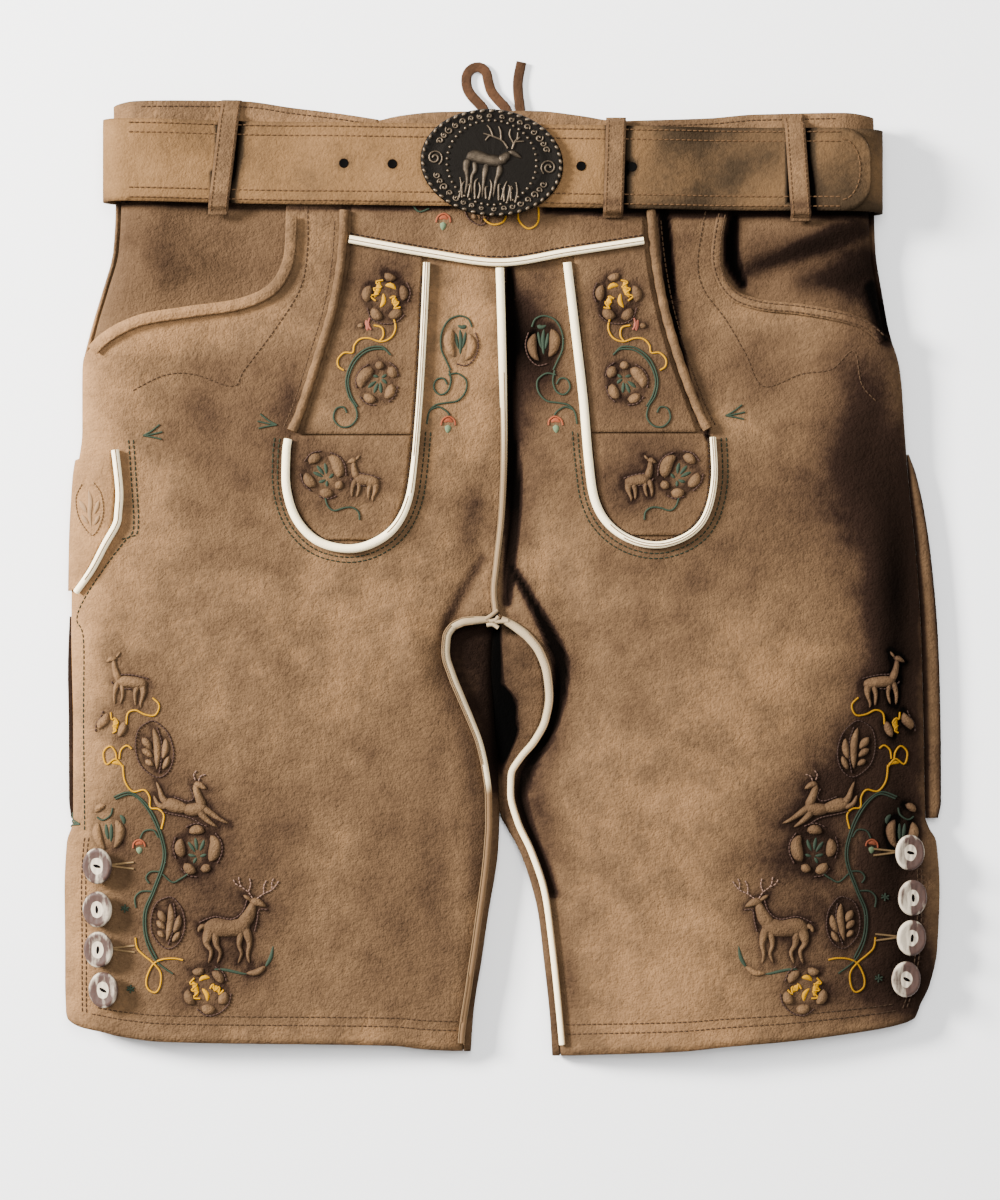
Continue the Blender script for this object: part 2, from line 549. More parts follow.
def route(points, count):
    """count points, evenly spaced, on a smooth curve through the given rows of numbers."""
    points = np.array(points, float)
    if len(points) == 2:
        t = np.linspace(0, 1, count)[:, None]
        return points[0] * (1 - t) + points[1] * t
    padded = np.vstack([points[0], points, points[-1]])
    t = np.linspace(0, 1, 13)[:-1][:, None]
    pieces = []
    for a, b, c, d in zip(padded, padded[1:], padded[2:], padded[3:]):
        pieces.append(0.5 * (2 * b + (c - a) * t + (2 * a - 5 * b + 4 * c - d) * t ** 2
                             + (3 * b - a - 3 * c + d) * t ** 3))
    dense = np.vstack(pieces + [points[-1:]])
    gone = np.concatenate([[0], np.cumsum(np.linalg.norm(np.diff(dense[:, :2], axis=0), axis=1))])
    goal = np.linspace(0, gone[-1], count)
    return np.stack([np.interp(goal, gone, dense[:, k]) for k in range(dense.shape[1])], -1)


def route_length(points):
    dense = route(points, 12 * len(points))
    return float(np.linalg.norm(np.diff(dense[:, :2], axis=0), axis=1).sum())


def shifted(path, distance):
    """A path moved sideways, to its right, by a distance."""
    along = np.gradient(path[:, :2], axis=0)
    along /= np.maximum(1e-9, np.linalg.norm(along, axis=1))[:, None]
    moved = path.copy()
    moved[:, 0] += distance * along[:, 1]
    moved[:, 1] -= distance * along[:, 0]
    return moved


# ---------------------------------------------------------------- materials
def srgb(red, green, blue):
    """A colour given from 0 to 255 as the shaders take it."""
    return tuple((value / 255) ** 2.2 for value in (red, green, blue))


def solid(colour, share=1.0):
    """A colour, or a share of its light, with its alpha."""
    return (*(value * share for value in colour), 1)


BLACK = solid((0, 0, 0))


def feed(tree, sockets, values):
    """Links each socket to the value's own socket, or sets it to the value."""
    for key, value in values.items():
        if isinstance(value, bpy.types.NodeSocket):
            tree.links.new(value, sockets[key])
        else:
            sockets[key].default_value = value


def add(tree, kind, settings=None, inputs=None):
    node = tree.nodes.new("ShaderNode" + kind)
    for key, value in (settings or {}).items():
        setattr(node, key, value)
    feed(tree, node.inputs, inputs or {})
    return node


def sums(tree, operation, first, second, clamp=False):
    settings = {"operation": operation, "use_clamp": clamp}
    return add(tree, "Math", settings, {0: first, 1: second}).outputs[0]


def times(tree, first, second, clamp=False):
    return sums(tree, "MULTIPLY", first, second, clamp)


def plus(tree, first, second, clamp=False):
    return sums(tree, "ADD", first, second, clamp)


def minus(tree, first, second):
    return sums(tree, "SUBTRACT", first, second)


def mixed(tree, share, first, second, blend="MIX"):
    settings = {"data_type": "RGBA", "blend_type": blend}
    return add(tree, "Mix", settings, {0: share, 6: first, 7: second}).outputs[2]


def place_in(tree):
    return add(tree, "TexCoord").outputs["Object"]


def axes_in(tree):
    """The X, Y and Z of a place on the garment, in metres."""
    return add(tree, "SeparateXYZ", None, {0: place_in(tree)}).outputs


def stain_in(tree):
    return add(tree, "Attribute", {"attribute_name": "stain"}).outputs["Fac"]


def noise(tree, where, scale, detail, stretch=None):
    if stretch:
        where = add(tree, "Mapping", None, {"Vector": where, "Scale": stretch}).outputs[0]
    return add(tree, "TexNoise", None, {"Vector": where, "Scale": scale, "Detail": detail}).outputs["Fac"]


def around_half(tree, value, strength):
    """A noise value turned into a swing about zero."""
    return times(tree, minus(tree, value, 0.5), strength)


def bumped(tree, strength, distance, height):
    """The normals of a fine relief, its distance in metres."""
    node = add(tree, "Bump", None, {"Strength": strength, "Distance": distance, "Height": height})
    return node.outputs["Normal"]


def faded(tree, value, start, end):
    """A mask that goes from 0 at start to 1 at end."""
    inputs = {"Value": value, "From Min": start, "From Max": end}
    return add(tree, "MapRange", {"interpolation_type": "SMOOTHSTEP"}, inputs).outputs[0]


SUEDE_SOCKETS = (("Middle", "INPUT", "Color"), ("Dark", "INPUT", "Color"), ("Pale", "INPUT", "Color"),
                 ("Stain", "INPUT", "Float"), ("Nap", "INPUT", "Float"),
                 ("Color", "OUTPUT", "Color"), ("Normal", "OUTPUT", "Vector"))
# The scale and detail of the hide's clouds, patches, flecks and nap.
SUEDE_NOISES = ((16, 4), (62, 6), (330, 5), (900, 4))


def suede_group():
    """Mottled, rubbed hide with a raised nap: a colour and a normal."""
    tree = bpy.data.node_groups.get("suede")
    if tree:
        return tree
    tree = bpy.data.node_groups.new("suede", "ShaderNodeTree")
    for label, way, kind in SUEDE_SOCKETS:
        tree.interface.new_socket(label, in_out=way, socket_type="NodeSocket" + kind)
    given, wanted = tree.nodes.new("NodeGroupInput").outputs, tree.nodes.new("NodeGroupOutput").inputs
    where = place_in(tree)
    clouds, patches, flecks, nap = (noise(tree, where, *look) for look in SUEDE_NOISES)
    swing = plus(tree, around_half(tree, clouds, 1.4), around_half(tree, patches, 1.5))
    swing = plus(tree, swing, around_half(tree, flecks, 0.9))
    calm = minus(tree, 1.0, times(tree, given["Stain"], 0.55, clamp=True))
    tone = plus(tree, given["Stain"], times(tree, swing, calm))
    dark = mixed(tree, times(tree, tone, 0.85, clamp=True), given["Middle"], given["Dark"])
    colour = mixed(tree, times(tree, tone, -0.75, clamp=True), dark, given["Pale"])
    deep = times(tree, minus(tree, tone, 0.85), 0.85, clamp=True)
    shade = plus(tree, times(tree, nap, 0.5), 0.75)
    shades = add(tree, "CombineColor", None, dict.fromkeys(range(3), shade)).outputs[0]
    height = plus(tree, plus(tree, times(tree, flecks, 1.2), nap), times(tree, patches, 1.6))
    feed(tree, wanted, {"Color": mixed(tree, 1.0, mixed(tree, deep, colour, BLACK), shades, "MULTIPLY"),
                        "Normal": bumped(tree, given["Nap"], 0.0011, height)})
    return tree


def shared(name, shader_inputs):
    """The material of this name; its first use makes it, with what shader_inputs(tree) returns."""
    found = bpy.data.materials.get(name)
    if not found:
        found = bpy.data.materials.new(name)
        found.use_nodes = True
        tree = found.node_tree
        feed(tree, tree.nodes["Principled BSDF"].inputs, shader_inputs(tree))
    return found


def suede(name, middle, dark, pale, nap=0.75, constant=None):
    """Hide in three shades; the stain comes from the mesh, or is the constant."""
    def shader_inputs(tree):
        group = tree.nodes.new("ShaderNodeGroup")
        group.node_tree = suede_group()
        feed(tree, group.inputs, {"Middle": solid(middle), "Dark": solid(dark), "Pale": solid(pale), "Nap": nap,
                                  "Stain": stain_in(tree) if constant is None else constant})
        return {"Base Color": group.outputs["Color"], "Normal": group.outputs["Normal"], "Roughness": 0.95,
                "Sheen Weight": 0.05, "Sheen Roughness": 0.55, "Sheen Tint": solid(pale),
                "Specular IOR Level": 0.02}

    return shared(name, shader_inputs)


# Where the threads are dulled, low on the right leg's outer side, in metres: from none to most.
SHADED_X = (0.145, 0.2)
SHADED_Y = (-0.02, -0.06)
SHADED_MOST = 0.55


def thread_material(name, colour, roughness=0.7, wear=0.75):
    """Twisted thread: a fine uneven shade along it, and duller on the garment's shaded side."""
    def shader_inputs(tree):
        where = place_in(tree)
        fibres, worn = noise(tree, where, 1500, 2), noise(tree, where, 130, 4)
        base = mixed(tree, times(tree, worn, wear, clamp=True), solid(colour), solid(colour, 0.42))
        where = axes_in(tree)
        shaded = times(tree, faded(tree, where["X"], *SHADED_X), faded(tree, where["Y"], *SHADED_Y))
        return {"Base Color": mixed(tree, times(tree, shaded, SHADED_MOST), base, BLACK),
                "Normal": bumped(tree, 0.6, 0.0003, fibres), "Roughness": roughness, "Specular IOR Level": 0.08}

    return shared(name, shader_inputs)


# Where the piping is dull, and where it is turned under, in metres: from none to most.
DULL_X = (0.042, 0.034)
DULL_TOP_Y = (0.15, 0.05)
DULL_LOW_Y = (-0.18, -0.05)
DULLER_Y = (-0.028, -0.016)
UNDER_X = (-0.002, -0.004)
UNDER_Y = (-0.108, -0.118)


def piping_material(colour, brown):
    """White leather: dull at the crotch, and turned under, so brown, down the left leg's inside."""
    made = thread_material("piping_leather", colour, 0.6, 0.3)
    tree = made.node_tree
    shader = tree.nodes["Principled BSDF"].inputs
    where = axes_in(tree)
    across = faded(tree, sums(tree, "ABSOLUTE", where["X"], 0.0), *DULL_X)
    dull = times(tree, across, faded(tree, where["Y"], *DULL_TOP_Y))
    dull = times(tree, dull, faded(tree, where["Y"], *DULL_LOW_Y))
    under = times(tree, faded(tree, where["X"], *UNDER_X), faded(tree, where["Y"], *UNDER_Y))
    most = plus(tree, 0.76, times(tree, faded(tree, where["Y"], *DULLER_Y), 0.17))
    base = mixed(tree, times(tree, dull, most), shader["Base Color"].links[0].from_socket, solid(brown))
    feed(tree, shader, {"Base Color": mixed(tree, under, base, solid(brown))})
    return made


def metal_material(colour, name="buckle_metal", dull=0.0):
    """Cast metal, black in its hollows and rubbed bright on its heights."""
    def shader_inputs(tree):
        where = place_in(tree)
        worn, fine = noise(tree, where, 210, 5), noise(tree, where, 1300, 3)
        share = plus(tree, plus(tree, stain_in(tree), dull), around_half(tree, worn, 0.9), clamp=True)
        return {"Base Color": mixed(tree, share, solid(colour), solid(colour, 0.035)),
                "Roughness": plus(tree, times(tree, share, 0.25), 0.38),
                "Normal": bumped(tree, 0.5, 0.0004, fine), "Metallic": 0.9}

    return shared(name, shader_inputs)


def horn_material(pale, brown):
    """Antler: pale bone, whiter in the middle, with brown and grey streaks along the button."""
    def shader_inputs(tree):
        where = place_in(tree)
        streaks = noise(tree, where, 240, 4, (1.0, 0.22, 1.0))
        fine = noise(tree, where, 900, 3)
        share = plus(tree, times(tree, minus(tree, streaks, 0.47), 5.0),
                     plus(tree, stain_in(tree), around_half(tree, fine, 0.4)), clamp=True)
        grey = tuple(0.6 * value + 0.022 for value in brown)
        shade = mixed(tree, times(tree, fine, 1.0, clamp=True), solid(brown), solid(grey))
        return {"Base Color": mixed(tree, share, solid(pale), shade), "Roughness": 0.55,
                "Normal": bumped(tree, 0.4, 0.0004, streaks), "Specular IOR Level": 0.15}

    return shared("antler", shader_inputs)


def plain_material(name, colour, roughness=0.8):
    values = {"Base Color": solid(colour), "Roughness": roughness, "Specular IOR Level": 0.04}
    return shared(name, lambda tree: values)


# ---------------------------------------------------------------- pieces
def keep(obj, material, node=None, slot="hide"):
    """The object joins the scene with its material, and stands for its node."""
    obj.data.materials.append(material)
    bpy.context.scene.collection.objects.link(obj)
    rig.ride(obj, "root")
    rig.slot(obj, slot)
    if node:
        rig.replaces(obj, node)
    return obj


def formed(name, bm, place):
    """A smooth object of the bmesh; place(local points) gives its points in millimetres and their stain."""
    mesh = bpy.data.meshes.new(name)
    bm.to_mesh(mesh)
    bm.free()
    local = np.empty(len(mesh.vertices) * 3)
    mesh.vertices.foreach_get("co", local)
    points, stain = place(local.reshape(-1, 3))
    mesh.vertices.foreach_set("co", (points * MM).ravel())
    mesh.attributes.new("stain", "FLOAT", "POINT").data.foreach_set("value", np.asarray(stain, np.float32))
    mesh.shade_smooth()
    mesh.update()
    return bpy.data.objects.new(name, mesh)


def leather(node, across, along, place, material, thickness, flip=False, slot="hide", stain=None):
    """A leather piece: a grid moved to place(u, v), stained, with a wall inward of it."""
    bm = bmesh.new()
    bmesh.ops.create_grid(bm, x_segments=across, y_segments=along, size=0.5)
    if flip:
        bmesh.ops.reverse_faces(bm, faces=bm.faces)

    def on_garment(local):
        shares = local + 0.5
        points = place(shares[:, 0], shares[:, 1])
        return points, darkness(points) if stain is None else stain(points, shares)

    obj = formed(node + "_leather", bm, on_garment)
    wall = obj.modifiers.new("wall", "SOLIDIFY")
    wall.thickness = thickness * MM
    wall.offset = -1
    return keep(obj, material, node, slot)


def threads(name, paths, radius, material, node=None, slot="hide", sides=1, flat=0.0):
    """Threads, pipings or strips along rows of points in millimetres; a fourth number thins one."""
    curve = bpy.data.curves.new(name, "CURVE")
    curve.dimensions = "3D"
    curve.bevel_depth = radius * MM
    curve.extrude = flat * MM
    curve.bevel_resolution = sides
    curve.use_fill_caps = True
    curve.twist_mode = "Z_UP"
    for path in paths:
        path = np.asarray(path, float)
        spline = curve.splines.new("POLY")
        spline.points.add(len(path) - 1)
        packed = np.ones((len(path), 4))
        packed[:, :3] = path[:, :3] * MM
        spline.points.foreach_set("co", packed.ravel())
        if path.shape[1] > 3:
            spline.points.foreach_set("radius", path[:, 3])
        if flat:
            spline.points.foreach_set("tilt", np.full(len(path), math.pi / 2))
    return keep(bpy.data.objects.new(name, curve), material, node, slot)


def laid(path, lift):
    """A flat path laid on the front, a lift above the hide."""
    return on_front(path[:, 0], path[:, 1], lift)


Stroke = namedtuple("Stroke", "path height lift")
PAD_STEP = 1.3
PAD_EDGE_DARK = 0.6
PAD_TOP_PALE = 0.25
PAD_FULL_WIDTH = 3.0
PAD_SUNK = 0.25
PAD_HIDE_STAIN = 0.45
PAD_METAL_SHADE = 0.3


def pads(name, strokes, material, surface, slot="hide", stain=None):
    """Padded shapes: each stroke swells along its (x, y, half width) rows and sinks in at its edges."""
    bm = bmesh.new()
    places, shades = [], []
    for stroke in strokes:
        along = int(np.clip(route_length(stroke.path) / PAD_STEP, 5, 26))
        line = route(stroke.path, along + 1)
        made = bmesh.ops.create_grid(bm, x_segments=along, y_segments=6, size=0.5)["verts"]
        shares = np.array([vert.co for vert in made]) + 0.5
        index = np.rint(shares[:, 0] * along).astype(int)
        end = np.sqrt(np.maximum(0, 1 - np.abs(2 * shares[:, 0] - 1) ** 3.4))
        angle = (shares[:, 1] - 0.5) * np.pi
        width = line[index, 2] * end
        slope = np.gradient(line[:, :2], axis=0)
        slope /= np.maximum(1e-9, np.linalg.norm(slope, axis=1))[:, None]
        x = line[index, 0] - slope[index, 1] * width * np.sin(angle)
        y = line[index, 1] + slope[index, 0] * width * np.sin(angle)
        full = stroke.height * np.sqrt(np.minimum(1.0, line[index, 2] / PAD_FULL_WIDTH))
        rise = stroke.lift - PAD_SUNK + (full + PAD_SUNK) * np.cos(angle) * (0.1 + 0.9 * end)
        places.append(np.stack([x, y, rise], -1))
        shades.append(PAD_EDGE_DARK - (PAD_EDGE_DARK + PAD_TOP_PALE) * np.cos(angle) * end)

    def on_surface(_):
        points = surface(*np.vstack(places).T)
        shade = np.concatenate(shades)
        if stain is None:
            return points, stain_at(points[:, 0], points[:, 1]) * PAD_HIDE_STAIN + shade
        return points, stain + PAD_METAL_SHADE * shade

    return keep(formed(name, bm, on_surface), material, slot=slot)


# ---------------------------------------------------------------- embroidery, drawn for this garment
Drawn = namedtuple("Drawn", "thread path")


def motif(**paths_in):
    """A drawing, by thread: rows of x, y and, where it isn't 1, a pad's half width or a thread's share."""
    return [Drawn(thread, [(*row, 1)[:3] for row in path])
            for thread, paths in paths_in.items() for path in paths]


STAG = motif(
    hide=[[(-16, 0.8, 3.4), (-9, 1.6, 5.4), (0, 0.8, 4.8), (8, 2.2, 5.2), (12, 3.4, 4)],
        [(5.6, 1.6, 4.6), (10.4, 7.4, 3.8), (12.8, 13, 2.7), (13.6, 17.4, 2)],
        [(11.2, 16.6, 2), (15.4, 16.2, 2.5), (19, 14.6, 1.6), (21.6, 13.2, 0.9)],
        [(13.4, 16.6, 0.9), (10, 18.8, 1.2), (7.4, 20.4, 0.5)],
        [(-14, 2.4, 1.8), (-17.2, 1.4, 1.3), (-18.4, -1.8, 0.9)],
        [(8.4, 2.4, 3.4), (10.4, -3.4, 2.5), (11.4, -8.4, 1.5), (10.4, -14.6, 1.1), (11.6, -20, 1.1)],
        [(7.4, 1, 2.6), (5.8, -5, 1.8), (5.4, -9.4, 1.3), (6.8, -14), (4.6, -20)],
        [(-10.4, 2.4, 4.2), (-12.8, -3.4, 3.2), (-13.6, -8, 1.8), (-10.8, -12.8, 1.2), (-12.6, -20, 1.1)],
        [(-8.6, 0.6, 3.2), (-8.4, -5, 2.2), (-7.6, -9.4, 1.5), (-5.4, -13.4, 1.1), (-7.4, -20)]],
    pale=[[(13.4, 18), (10.8, 22), (6.4, 25.6), (5.2, 31, 0.8)],
        [(10.8, 22), (12.2, 26.4, 0.8), (11.4, 30, 0.7)], [(7.4, 24.8), (3.6, 26.6, 0.8), (2, 29.6, 0.7)],
        [(15.4, 17.8), (19.8, 21), (24.8, 23.4), (28.6, 28.4, 0.8)],
        [(19.8, 21), (19.8, 25.4, 0.8), (21.4, 28.8, 0.7)], [(24.8, 23.4), (24.4, 27, 0.8), (25.6, 30, 0.7)]],
    dark=[[(-18, 4.2), (-9, 7.6), (1, 6.2), (7.4, 10.4), (10, 17.4)],
        [(14.4, -1.2), (16, 5.8), (17, 11.6), (22, 11.6)]])
CHAMOIS = motif(
    hide=[[(-15.4, -0.6, 2.6), (-10, -0.4, 3.9), (-3, -1.4, 3.2), (1, -1.6, 2.8)],
        [(-4, -1.4, 2.6), (2, -1.6, 3.6), (8.4, 0.6, 3.4), (10.6, 1.2, 2.4)],
        [(8.6, 0.4, 3.2), (5, 5.6, 2.4), (2.6, 10.4, 2), (2, 13.6, 1.8)],
        [(0.8, 12.8, 1.9), (4.4, 12.8, 1.9), (7.2, 11.6, 1.3), (9, 10.8, 0.8)],
        [(6, 1.4, 2.8), (12, -1.6, 1.9), (18.6, -4.8, 1.2), (24, -6.4, 0.9)],
        [(5, -0.6, 2.8), (9.6, -4.8, 1.9), (14, -7.6, 1.2), (18, -9.4, 0.9)],
        [(-10.4, -0.8, 2.8), (-15, 2.4, 1.9), (-17.4, 7, 1.2), (-20, 11.4, 0.9)],
        [(-11, -1.6, 2.4), (-16.6, -1.6, 1.5), (-20.4, 3.6, 0.9)]],
    pale=[[(1.8, 15), (0.4, 18), (1.8, 20.6, 0.8)], [(3.6, 14.8), (4.4, 17.8), (7.2, 19, 0.8)]],
    dark=[[(-15, -5), (-7, -5.6), (2, -6.2), (8, -8.6)], [(-9, 4.2), (-1, 2.8), (2.2, 5.4), (-0.4, 10)]])
DOE = motif(
    hide=[[(-6.6, 2.6, 2.4), (-2, 2.4, 3.2), (4, 2.2, 3.2), (9.6, 1.6, 3.2), (11.6, 0.8, 2.2)],
        [(-3.6, 2, 2.8), (-6, 6.4, 2.1), (-7.4, 10.6, 1.6), (-7.8, 14.6, 1.5)],
        [(-5.8, 14.8, 1.4), (-8.6, 14.4, 1.7), (-10.8, 13, 1.1), (-12.4, 12, 0.6)],
        [(-7, 14.8, 0.6), (-5.4, 17, 0.8), (-4.4, 18.8, 0.5)],
        [(-4.6, 2.6, 2.2), (-5.8, -2, 1.5), (-6.2, -6), (-5.6, -11, 0.9)],
        [(-3, 1.4, 1.9), (-1.8, -3, 1.2), (-1.8, -6.4, 0.9), (-2.8, -10.6, 0.8)],
        [(8.4, 2.4, 2.9), (9.6, -2.6, 1.8), (9, -6.8), (8.4, -9, 0.9), (9, -12, 0.8)],
        [(6.4, 1.4, 2.2), (5.2, -3, 1.4), (5.2, -6.4), (6, -11, 0.8)]],
    dark=[[(-8.6, 2), (-4, -1.6), (3, -1.4)], [(-3.6, 6), (3, 6.2), (12, 4.8)]])
# A pine-like oval leaf: lobes either side of a middle one, inside a stitched oval.
OVAL_LEAF = motif(
    hide=[[(1.2, 12), (1.6, 5, 1.6), (0.2, -3, 1.4), (-1.4, -9, 0.7)],
        [(-5.4, 8.4, 0.9), (-3.6, 5.2, 1.7), (-1.8, 1.4, 0.8)],
        [(-6.8, 2.8, 0.9), (-4.4, 0.6, 1.5), (-2, -2.6, 0.7)],
        [(-6.4, -3, 0.8), (-4.4, -4.6, 1.3), (-2.4, -6.8, 0.6)],
        [(6.2, 5.6, 0.9), (5, 0.4, 1.6), (2.4, -4.6, 0.8)], [(6, -3.4, 0.8), (4, -6.6, 1.3), (1.4, -9.6, 0.7)]],
    dark=[[(0.6, 15.6), (-6, 12.6), (-9.4, 4), (-8.6, -5.4), (-2, -12.6), (4.6, -10.4), (8.6, -2.4), (8, 7.4),
         (3.6, 14.2), (0.6, 15.6)], [(3.2, 12), (3.8, 4), (2, -4), (-0.6, -11)]])
OAK = motif(
    hide=[[(7, 9, 1.8), (9.6, 4.6, 3.2), (9, -1.2, 3.5), (6.4, -6, 2.2)],
        [(-5, 10.2, 1.7), (-0.8, 12, 2.9), (3.8, 11, 1.8)],
        [(-9.2, 7.2, 1.7), (-10.2, 2, 3.1), (-8.4, -3.6, 2.2)],
        [(-7.6, -6.6, 1.8), (-5, -10, 3), (-0.8, -11.6, 2)],
        [(1.2, -10.4, 1.5), (4.4, -9.6, 2.6), (7, -7.8, 1.5)]],
    green=[[(-5.8, 5.6, 0.6), (-3.5, 2.5, 1.1), (-1.2, -1, 0.5)],
        [(-1.6, 8, 0.6), (-0.9, 4, 1.1), (-0.4, 0, 0.5)], [(3.6, 7, 0.6), (2.6, 3.4, 1.1), (0.8, -0.4, 0.5)],
        [(-5.8, -1.6, 0.6), (-3.4, -2.5), (-0.6, -2.7, 0.4)], [(5, -1.6, 0.5), (3.2, -2.4), (0.8, -3, 0.4)],
        [(-2.4, -7.2, 0.5), (-1.6, -5), (-0.4, -3.4, 0.4)]],
    dark=[[(9.6, 10.4), (13.2, 5), (13.4, -1), (10.8, -7)], [(-12.4, 8.2), (-13.8, 2), (-12.2, -4.4)],
        [(-9.6, -9.4), (-5.2, -13.6), (0, -14.4)], [(-6.8, 13.4), (-0.8, 15.6), (5.4, 13.8)]])
BLOSSOM = motif(
    hide=[[(-9.8, 3.6, 1.7), (-10.8, -1.4, 2.9), (-9, -6, 1.8)],
        [(-5.8, -8, 1.8), (-2.8, -11.2, 3.1), (1.4, -12, 1.8)],
        [(3.6, -10.2, 1.8), (7.2, -8.4, 3.1), (9.6, -4.6, 1.8)],
        [(9.4, -0.4, 1.5), (9, 4.2, 2.7), (6.2, 8.2, 1.5)],
        [(-4.2, 12.2, 1.4), (-0.8, 10.4, 2.5), (2.8, 11.6, 1.4)]],
    yellow=[[(-6.2, 7.8, 0.8), (-5.2, 2.8, 1.6), (-6.4, -2.6, 0.9)],
        [(2.8, 1.4, 0.8), (5.4, -1.6, 1.7), (7, -5, 0.9)], [(-2.2, 1.4, 0.7), (-0.6, -3, 1.4), (-1.8, -7, 0.7)],
        [(-4, 8), (-7.6, 6), (-3.6, 4.2), (-8, 2.2), (-4.4, 0.2), (-8.4, -2), (-5, -3.8)],
        [(2.2, -0.6), (4.8, 1.4), (4.2, -2.6), (7.6, -1.2), (5.8, -5.2), (9, -3.8)],
        [(-2.4, 5.4, 0.7), (1, 6.6, 1.5), (4.4, 5, 0.7)]],
    dark=[[(-8.6, -8.6), (-4.6, -14), (2.2, -15), (8.8, -12.2), (12.4, -7)],
        [(12.2, 0), (12.2, 5.6), (8.8, 10.4)]])
BUD = motif(
    hide=[[(-5.2, 6.2, 1.1), (-5.6, 2.2, 1.9), (-7.6, -0.8, 1.9), (-7.8, -4.2, 1.2)],
        [(5.2, 3.4), (4.6, -1.4, 1.7), (3.2, -6.4, 0.9)]],
    yellow=[[(-1, 4.4, 0.9), (0.6, 0.4, 1.6), (0.2, -4, 0.9)],
        [(-3.2, 6.6), (-2, 2.6), (-0.6, 3.8), (1.8, 1.4), (-0.8, -0.4), (1.6, -2.4), (-0.4, -4.4)]],
    dark=[[(-7.4, 7), (-8.4, 2.6), (-10, -0.8), (-9.8, -5.6)]])
TWIN_LOOP = motif(
    yellow=[[(2.4, -7.4), (-1.6, -3), (-6.6, -6), (-8.2, 0.4), (-4.6, 4), (-1.6, 0.8), (-1, -3.4)],
        [(0.6, -3), (1.4, 1.8), (4.6, 4.4), (7.2, 2.6)], [(-4.4, -5.4, 0.8), (-1, -5, 1.2), (2.6, -6.4, 0.7)]])
GREEN_BUD = motif(
    hide=[[(-7.6, 10.4, 1.3), (-5, 13.4, 2.2), (-1, 14.6, 1.3)],
        [(-6.2, 5, 1.8), (-7.4, -0.8, 2.9), (-5.6, -7.4, 2.3), (-2.8, -11.6, 1.3)],
        [(4, 5.8, 1.6), (6.2, 0.2, 2.8), (4.8, -6.4, 2.2), (1.8, -10.8, 1.3)]],
    green=[[(-6.6, 8), (-3.4, 6), (1.4, 8.6), (2.8, 12.6)],
        [(-1.8, 4.4, 0.7), (-1.6, -1, 1.2), (-0.8, -6, 0.6)],
        [(1.4, 4.2, 0.7), (1, -1.6, 1.2), (0.4, -7.4, 0.6)], [(6.4, 8.6, 0.7), (8.6, 5.8, 1.3), (8.8, 2.4, 0.7)]])
ACORN = motif(
    mint=[[(0, -1.2, 2), (-0.3, -3.8, 1.7), (-0.5, -6.2, 0.6)]],
    orange=[[(-3, -0.2, 0.8), (0, 1.5, 1.5), (3, -0.2, 0.8)],
        [(-4, -1.6), (-3, 1.6), (0.4, 3.2), (3.4, 1.2), (3.8, -1.6)]])
PINK_ACORN = motif(
    hide=[[(-5.2, 0.4, 0.8), (-3, 0.4, 1.6), (-1, 0.2, 1.6)]],
    pink=[[(0.2, 3.4, 0.8), (0.8, 0.2, 1.6), (0, -3.4, 0.8)], [(2.6, 3.6), (1.2, 0.4), (2.2, -2.8)]])
GARLAND_LEAF = motif(
    hide=[[(-3.2, 7.6, 1.8), (-5.2, 2.2, 3.2), (-4.4, -4, 2.6), (-1.8, -8.6, 1.4)],
        [(5.6, 5.2, 1.5), (7.6, -0.8, 2.8), (6.4, -6.8, 2.2), (3.4, -10.4, 1.2)]],
    green=[[(-1.6, 5.8, 0.6), (-0.9, 0.6), (0.3, -4.4, 0.5)], [(0.8, 7.8, 0.8), (1.4, 1, 1.2), (1, -7.4, 0.7)],
        [(4.2, 6.4, 0.6), (3.4, 1.4), (2, -4, 0.5)], [(5, 9.4, 1.4), (2, 8.4, 1.2), (-0.8, 9.8, 0.5)],
        [(7.6, 8.6), (5.6, 13), (0.6, 14.8), (-5.6, 12.2), (-9.4, 5), (-9.6, -3.6), (-6.6, -10.8),
         (-4.4, -15.6)]],
    dark=[[(9.4, 5.6), (11.2, -1), (9.4, -8.4), (4.4, -13), (-1.2, -12)]])
BRANCH = motif(
    green=[[(-17, -1.6, 0.6), (-10, -2, 0.9), (-1, -4, 0.8), (3, -4.2, 0.3)],
        [(11.6, -0.8, 0.9), (14.8, 4.6, 1.2), (16.2, 11.8, 0.4)]],
    hide=[[(1, -3.8, 0.8), (7, -3.4, 2), (12.4, 0.2, 1.2)]])
POCKET_LEAF = motif(
    paler=[[(0, 10, 0.9), (0.6, 4, 1.5), (-0.4, -3, 1.3), (0, -10, 0.6)],
        [(-5.2, 5, 0.9), (-3.4, 1.4, 1.5), (-1.6, -2.4, 0.7)], [(5, 4, 0.9), (3.6, 0.4, 1.4), (1.8, -3.4, 0.7)],
        [(-4.8, -2.4, 0.8), (-3, -5.6, 1.3), (-1.2, -8.4, 0.6)],
        [(4.6, -3.4, 0.8), (3, -6.4, 1.2), (1.2, -9, 0.6)],
        [(-3, 13.4), (-6.6, 6.6), (-6.4, -3), (-3.4, -10.4), (0, -13.8), (3.6, -10), (6.4, -2.6), (6.2, 7),
         (2.6, 13.6)]])


def fuller(lines, share):
    """The same drawing with its padded strokes wider."""
    return [line._replace(path=[(x, y, wide * share) for x, y, wide in line.path]) if line.thread == "hide"
            else line for line in lines]


MOTIFS = {"stag": STAG, "chamois": CHAMOIS, "doe": DOE, "oval_leaf": fuller(OVAL_LEAF, 1.35), "oak": OAK,
          "blossom": BLOSSOM, "bud": fuller(BUD, 1.4), "twin_loop": TWIN_LOOP, "green_bud": GREEN_BUD,
          "acorn": ACORN, "pink_acorn": PINK_ACORN, "garland_leaf": GARLAND_LEAF, "branch": BRANCH,
          "pocket_leaf": POCKET_LEAF}

